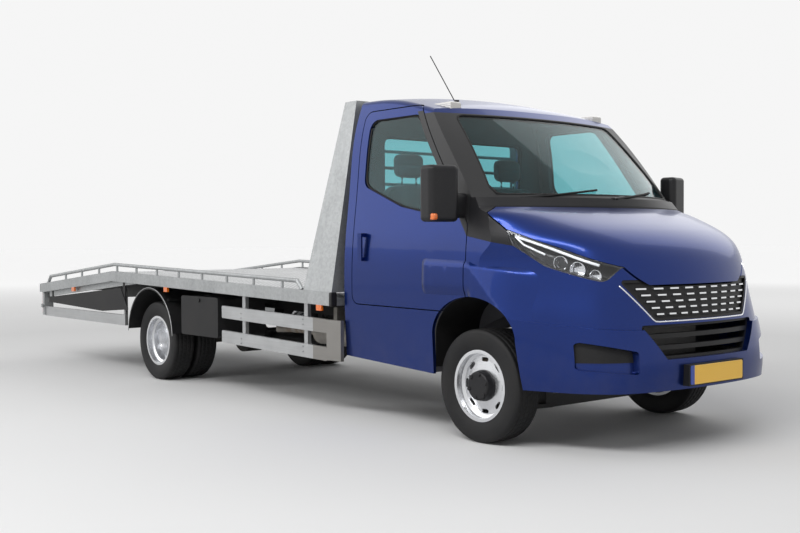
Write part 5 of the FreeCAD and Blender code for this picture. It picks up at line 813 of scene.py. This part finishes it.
guide = guide_paint()
for side, sign in both_sides:
    upper = inner_path([(296, 1256), (400, 1222), (520, 1177), (640, 1128), (740, 1087)], sign, 0.014)
    lower = inner_path([(300, 1252), (352, 1202), (430, 1166), (476, 1146)], sign, 0.016)
    tubes = together([tube_form(upper, 0.0085), tube_form(lower, 0.006)])
    piece("lamp_guide_" + side, *tubes, guide, "body")
    bowls, globes = [], []
    for x, z, radius in ((545, 1100, 0.040), (640, 1064, 0.046), (730, 1030, 0.036)):
        point, normal = meet("headlamp_lenses", mm(x, sign * 1000 * beside, z), (0, -sign, 0))
        facing = normal + (1.2, 0, 0)
        facing /= np.linalg.norm(facing)
        middle = point - normal * 0.052
        bowls.append(bowl_form(middle, facing, radius, 0.024))
        globes.append(dome_form(middle + facing * 0.006, facing, radius * 0.5, 0.012))
    piece("lamp_bowls_" + side, *together(bowls), chrome, "body")
    piece("lamp_globes_" + side, *together(globes), cover, "body")
    step = inner_path([(500, 1074), (580, 1040), (680, 1012), (762, 1000)], sign, 0.02)
    piece("lamp_step_" + side, *tube_form(step, 0.007, 6), grained, "body", smooth=False)
print("headlamp parts:", len(upper), "guide points,", len(bowls), "bowls")

# %% [markdown]
# ## Number plate
# The number plate is a pressed sheet with a raised rim, yellow with a narrow blue band at one end, and
# it is blank. Its front is a grid whose height above the flat field is a smooth bump near the edge, so
# that one formula gives field, rim and rounded edge.

# %% Blank plate
rim_rise, rim_place, rim_spread, corner_radius = 0.0011, 0.0045, 0.0018, 0.01


def plate_form(x_face, z_middle, width, height, columns=90, rows=30, thick=0.0016):
    """x = face + rim rise; the rim is a smooth bump a few millimetres inside the edge; the back is flat."""
    v, w = np.meshgrid(np.linspace(-1, 1, columns), np.linspace(-1, 1, rows), indexing="ij")
    edge = np.minimum((1 - np.abs(v)) * width / 2, (1 - np.abs(w)) * height / 2)
    rise = thick + rim_rise * np.exp(-((edge - rim_place) / rim_spread) ** 2)
    corner = np.clip((np.abs(v) * width / 2 - (width / 2 - corner_radius)) / corner_radius, 0, 1)
    shrink = 1 - (1 - np.sqrt(1 - corner ** 2 * 0.999)) * corner_radius / (height / 2)
    front = np.stack([x_face + rise, v * width / 2, z_middle + w * height / 2 * shrink], -1)
    back = front.copy()
    back[..., 0] = x_face
    quads, numbers = grid_quads(columns, rows), np.arange(columns * rows).reshape(columns, rows)
    points = np.concatenate([front.reshape(-1, 3), back.reshape(-1, 3)])
    ring = np.concatenate([numbers[0], numbers[1:, -1], numbers[-1, -2::-1], numbers[-2:0:-1, 0]])
    on, count = np.roll(ring, -1), columns * rows
    sides = np.stack([ring, on, on + count, ring + count], -1)
    return points, np.concatenate([quads, quads[:, ::-1] + count, sides])


def plate_paint():
    """Yellow reflective sheet with tiny beads; blue where Y is past the band's line."""
    paint = Paint("blank_plate", Coat_Weight=0.5, Coat_Roughness=0.1)
    bead = paint.cells(900.0)
    yellow = paint.blend(bead, (0.90, 0.50, 0.03), (0.96, 0.58, 0.06))
    band = (paint.axis("Y") * -1).above(0.223)
    paint.feed(Base_Color=paint.blend(band, yellow, (0.01, 0.05, 0.35)), Roughness=0.35 + bead * 0.1)
    return paint.bump(bead, 0.15, 0.0003)


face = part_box("bumper_trim")[1][0]
piece("front_plate", *plate_form(face, 0.449, 0.52, 0.11), plate_paint(), "body")
print("plate on x =", round(face, 4))

# %% [markdown]
# ## Seals of the windscreen, the side windows and the rear pane
# Black rubber runs round every pane. Its outline is the opening's, drawn in by a hundredth and with
# rounded corners; rays drop it onto the glass.

# %% Seals
def seal(name, corners, radius, gap, plane, way, names, thick, body):
    """Rubber tube round an opening: corners drawn in, rounded and dropped onto the pane."""
    line = dropped(spaced(rounded(drawn_in(corners), radius), gap), plane, way, names)
    piece(name, *tube_form(line, thick, 8, True), rubber, body)
    print(name, "depth:", round(float(np.ptp(line @ way)), 3))


def cross_seal(name, corners, x, way):
    """Seal of a pane across the cab, met from a plane at x."""
    seal(name, corners, 0.06, 0.03, lambda y, z: np.array([front_axle_x + x, y, z]), (way, 0, 0),
         ("cab_glass", "cab_shell"), 0.009, "body")


side_window = [(-1.108, 1.6), (-0.7, 1.45), (-0.118, 1.345), (-0.62, 2.05), (-1.108, 2.05)]
cross_seal("screen_seal", [(-0.862, 1.505), (0.862, 1.505), (0.756, 2.04), (-0.756, 2.04)], 1.2, -1)
for side, sign in both_sides:
    door = "door_" + side
    seal("window_seal_" + side, side_window, 0.07, 0.02,
         lambda x, z: np.array([front_axle_x + x, sign * beside, z]), (0, -sign, 0),
         (door, "door_glass_" + side), 0.008, door)
cross_seal("rear_pane_seal", [(-0.69, 1.42), (0.69, 1.42), (0.69, 1.96), (-0.69, 1.96)], -1.7, 1)

# %% [markdown]
# ## Seats
# A van seat is foam under a tight woven cover: the middle panel is crowned, the bolsters at the sides
# stand higher, the sides pull in between the corners, and the cover is sewn down in channels. All of
# that is one closed form per pad. A cube's points are pushed onto a rounded box, and then each effect
# is a small sum: crown is a cosine hump, a bolster is a bump near the side, a channel is a narrow dip.

# %% Pads
bolster_place, bolster_spread, channel_depth, channel_spread, side_pull = 0.82, 0.1, 0.007, 0.005, 0.010


def pad_form(low, high, lean, face, channels, bolster, crown=0.012, cells=26, power=7.0):
    """Rounded box between two corners; face is the crowned axis, lean moves x with height."""
    points, quads = pillow_form((0, 0, 0), (1, 1, 1), power, cells)
    half, middle = (high - low) / 2, (high + low) / 2
    along = 0 if face == 2 else 2
    front = np.clip(points[:, face], 0, 1)
    wave = np.cos(points * np.pi / 2)
    hump, pull = wave[:, along] * wave[:, 1], side_pull * wave[:, along] * wave[:, face]
    side = np.exp(-((np.abs(points[:, 1]) - bolster_place) / bolster_spread) ** 2)
    dip = sum(np.exp(-((points[:, axis] - place) * half[axis] / channel_spread) ** 2)
              for axis, place in channels)
    moved = points * half
    moved[:, face] += front * (crown * hump + bolster * side - channel_depth * dip - (crown + bolster) * 0.6)
    moved[:, 1] -= np.sign(points[:, 1]) * pull * np.abs(points[:, 1])
    moved[:, 0] += lean * (points[:, 2] + 1) / 2
    return moved + middle, quads


def seat_forms(y, width, rests):
    """Plinth, cushion and back of one seat, with a headrest for each place in rests, in millimetres."""
    low, high = y - width / 2 + 2, y + width / 2 - 2
    seams = [(1, -0.62), (1, 0.62)] + ([(1, 0.0)] if width > 700 else [])
    cushion = pad_form(mm(-1088, low, 832), mm(-562, high, 982), 0, 2, seams + [(0, -0.35), (0, 0.45)], 0.016)
    back = pad_form(mm(-1088, low, 984), mm(-962, high, 1618), -0.06, 0, seams + [(2, -0.2), (2, 0.5)], 0.014)
    heads = [pad_form(mm(-1129, place - 123, 1668), mm(-1041, place + 123, 1834), -0.006, 0,
                      [(2, 0.0)], 0.0, 0.008, 16, 4.0) for place in rests]
    plinth = pillow_form(mm(-871, y, 766), (0.219, width / 2000 - 0.046, 0.066), 16.0, 8)
    pins = [tube_form([mm(-1085, place + spread, z) for z in (1610, 1680)], 0.007, 8)
            for place in rests for spread in (-65, 65)]
    return cushion, back, heads, plinth, together(pins)


cushions, backs = [], []
for name, y, width, rests in (("driver", 400, 500, (400,)), ("bench", -350, 900, (-575, -125))):
    cushion, back, heads, plinth, pins = seat_forms(y, width, rests)
    pads = [("cushion_" + name, cushion, cushions), ("back_" + name, back, backs)]
    pads += [(f"headrest_{name}{index}", head, backs) for index, head in enumerate(heads)]
    for part, form, group in pads:
        pad = piece(part, *form, cloth, "body")
        group.append(pad)
    cushions.append(piece("plinth_" + name, *plinth, grained, "body"))
    backs.append(piece("pins_" + name, *pins, chrome, "body"))
for node, group in (("seat_cushions", cushions), ("seat_backs", backs)):
    for pad in group:
        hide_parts(node)
print("pads:", len(cushions), len(backs))

# %% [markdown]
# ## Mirror lamps, mudguard beads, guard bolts and caps
# Small parts that catch the light: an amber lamp at each mirror's lower outer corner, a bright bead on
# the mudguards' rims, round bolts on the side guards and a black cap on the front end of the deck's beams.

# %% Small parts of the cab and the sides
guard_radius, guard_posts, guard_boards = 0.4165, (-1730, -2575), (648, 452)
arc = np.radians(np.linspace(-88, 88, 70))
for side, sign in both_sides:
    lamp = pillow_form(mm(-118, sign * 1226, 1372), (0.048, 0.018, 0.02), 5.0, 10)
    piece("mirror_lamp_" + side, *lamp, amber, "door_" + side)
    bead = np.stack([wheel_x["rear"] + guard_radius * np.sin(arc), np.full(len(arc), sign * 1.0475),
                     0.403 + guard_radius * np.cos(arc)], -1)
    piece("mudguard_bead_" + side, *tube_form(bead, 0.0035, 8), drawn, "body")
    cap = pillow_form(mm(-1346, sign * 1052, 824), (0.014, 0.0255, 0.049), 14.0, 8)
    piece("beam_cap_" + side, *cap, grained, "body")
    spots = [mm(x, sign * 1000 * beside, z + shift) for x in guard_posts for z in guard_boards
             for shift in (-18, 18)]
    piece("guard_bolts_" + side, *nuts_on("side_guards", spots, sign, 0.007, 0.005, 12), zinc, "body")
print("small parts set")

# %% [markdown]
# ## Wiper blades
# A blade is a rubber strip that lies along the glass below its arm. The glass leans back by the same
# share of each metre of height everywhere and curves back towards the sides, so the strip's line comes
# from those two sums, a little proud of the glass.

# %% Wiper blades
blade_length, blade_rise, proud = 0.56, 0.06, 0.0155
blades = []
for start_y in (-0.7, -0.06):
    y = np.linspace(start_y + 0.02, start_y + blade_length, 24)
    rise = (y - start_y) / blade_length * blade_rise
    x = screen_x + screen_lean / screen_rise * rise - screen_bow * (y / half_width) ** 2 + proud
    blades.append(tube_form(np.stack([x, y, screen_z + rise - 0.006], -1), 0.0075, 6))
piece("wiper_blades", *together(blades), rubber, "body")
print("blades set")

# %% [markdown]
# ## Studio
# A pale floor and an even, soft light from all round show colours about as they are written. The world
# and the far floor are bright only for the camera, for reflections and for what is seen through glass,
# so that they don't light the truck more than the lamps do, and the floor keeps the truck's shadow.

# %% Floor, world and lamps
def seen_rays(paint):
    """1 for a ray from the camera, off a mirror or through glass, and 0 for one that only lights."""
    total = 0.0
    for ray in ("Is Camera Ray", "Is Glossy Ray", "Is Transmission Ray"):
        total = paint.add("ShaderNodeLightPath", {}, {}, ray) + total
    return total.least(1.0)


def stage_paint(near=7.0, far=24.0):
    """Pale floor that glows a little where it lies far from the truck, beyond the lamps' reach."""
    paint = Paint("studio_floor", Roughness=0.9, Emission_Strength=1.0)
    x, y = paint.axis("X"), paint.axis("Y")
    away = ((x * x + y * y) ** 0.5).ramp(near, far)
    return paint.feed(Base_Color=paint.blend(paint.noise(0.6), (0.80, 0.80, 0.80), (0.82, 0.82, 0.82)),
                      Emission_Color=paint.blend(away * seen_rays(paint), (0, 0, 0), (0.56, 0.56, 0.56)))


span = 150.0
floor = surface("studio_floor", [(-span, -span, 0), (span, -span, 0), (span, span, 0), (-span, span, 0)],
                [(0, 1, 2, 3)], stage_paint())


class Sky(Paint):
    """The world's graph, with a paint's own method for its nodes."""

    def __init__(self, name):
        self.world = bpy.data.worlds.new(name)
        self.world.use_nodes = True
        self.graph = self.world.node_tree
        self.shader = self.graph.nodes["Background"]
        self.shader.inputs["Color"].default_value = (1, 1, 1, 1)


light_share, seen_share = 0.37, 0.55
sky = Sky("studio_world")
sky.feed(Strength=seen_rays(sky) * seen_share + light_share)
bpy.context.scene.world = sky.world


def soft_lamp(name, place, aim, size, depth, power):
    """Rectangular area lamp at a place, turned to its aim; the long ones draw streaks on the paint."""
    data = bpy.data.lights.new(name, "AREA")
    data.shape, data.size, data.size_y, data.energy = "RECTANGLE", size, depth, power
    lamp = bpy.data.objects.new(name, data)
    bpy.context.scene.collection.objects.link(lamp)
    lamp.location = place
    lamp.rotation_euler = (Vector(aim) - Vector(place)).to_track_quat("-Z", "Y").to_euler()


soft_lamp("key", (4.5, -7.5, 7.5), (1.5, 0, 0.8), 11.0, 1.6, 620)
soft_lamp("fill", (-8, -10, 7), (0, 0, 1), 14.0, 10.0, 480)
soft_lamp("rim", (-2, 12, 10), (0, 0, 1), 16.0, 12.0, 480)
bpy.context.scene.view_settings.view_transform = "Standard"
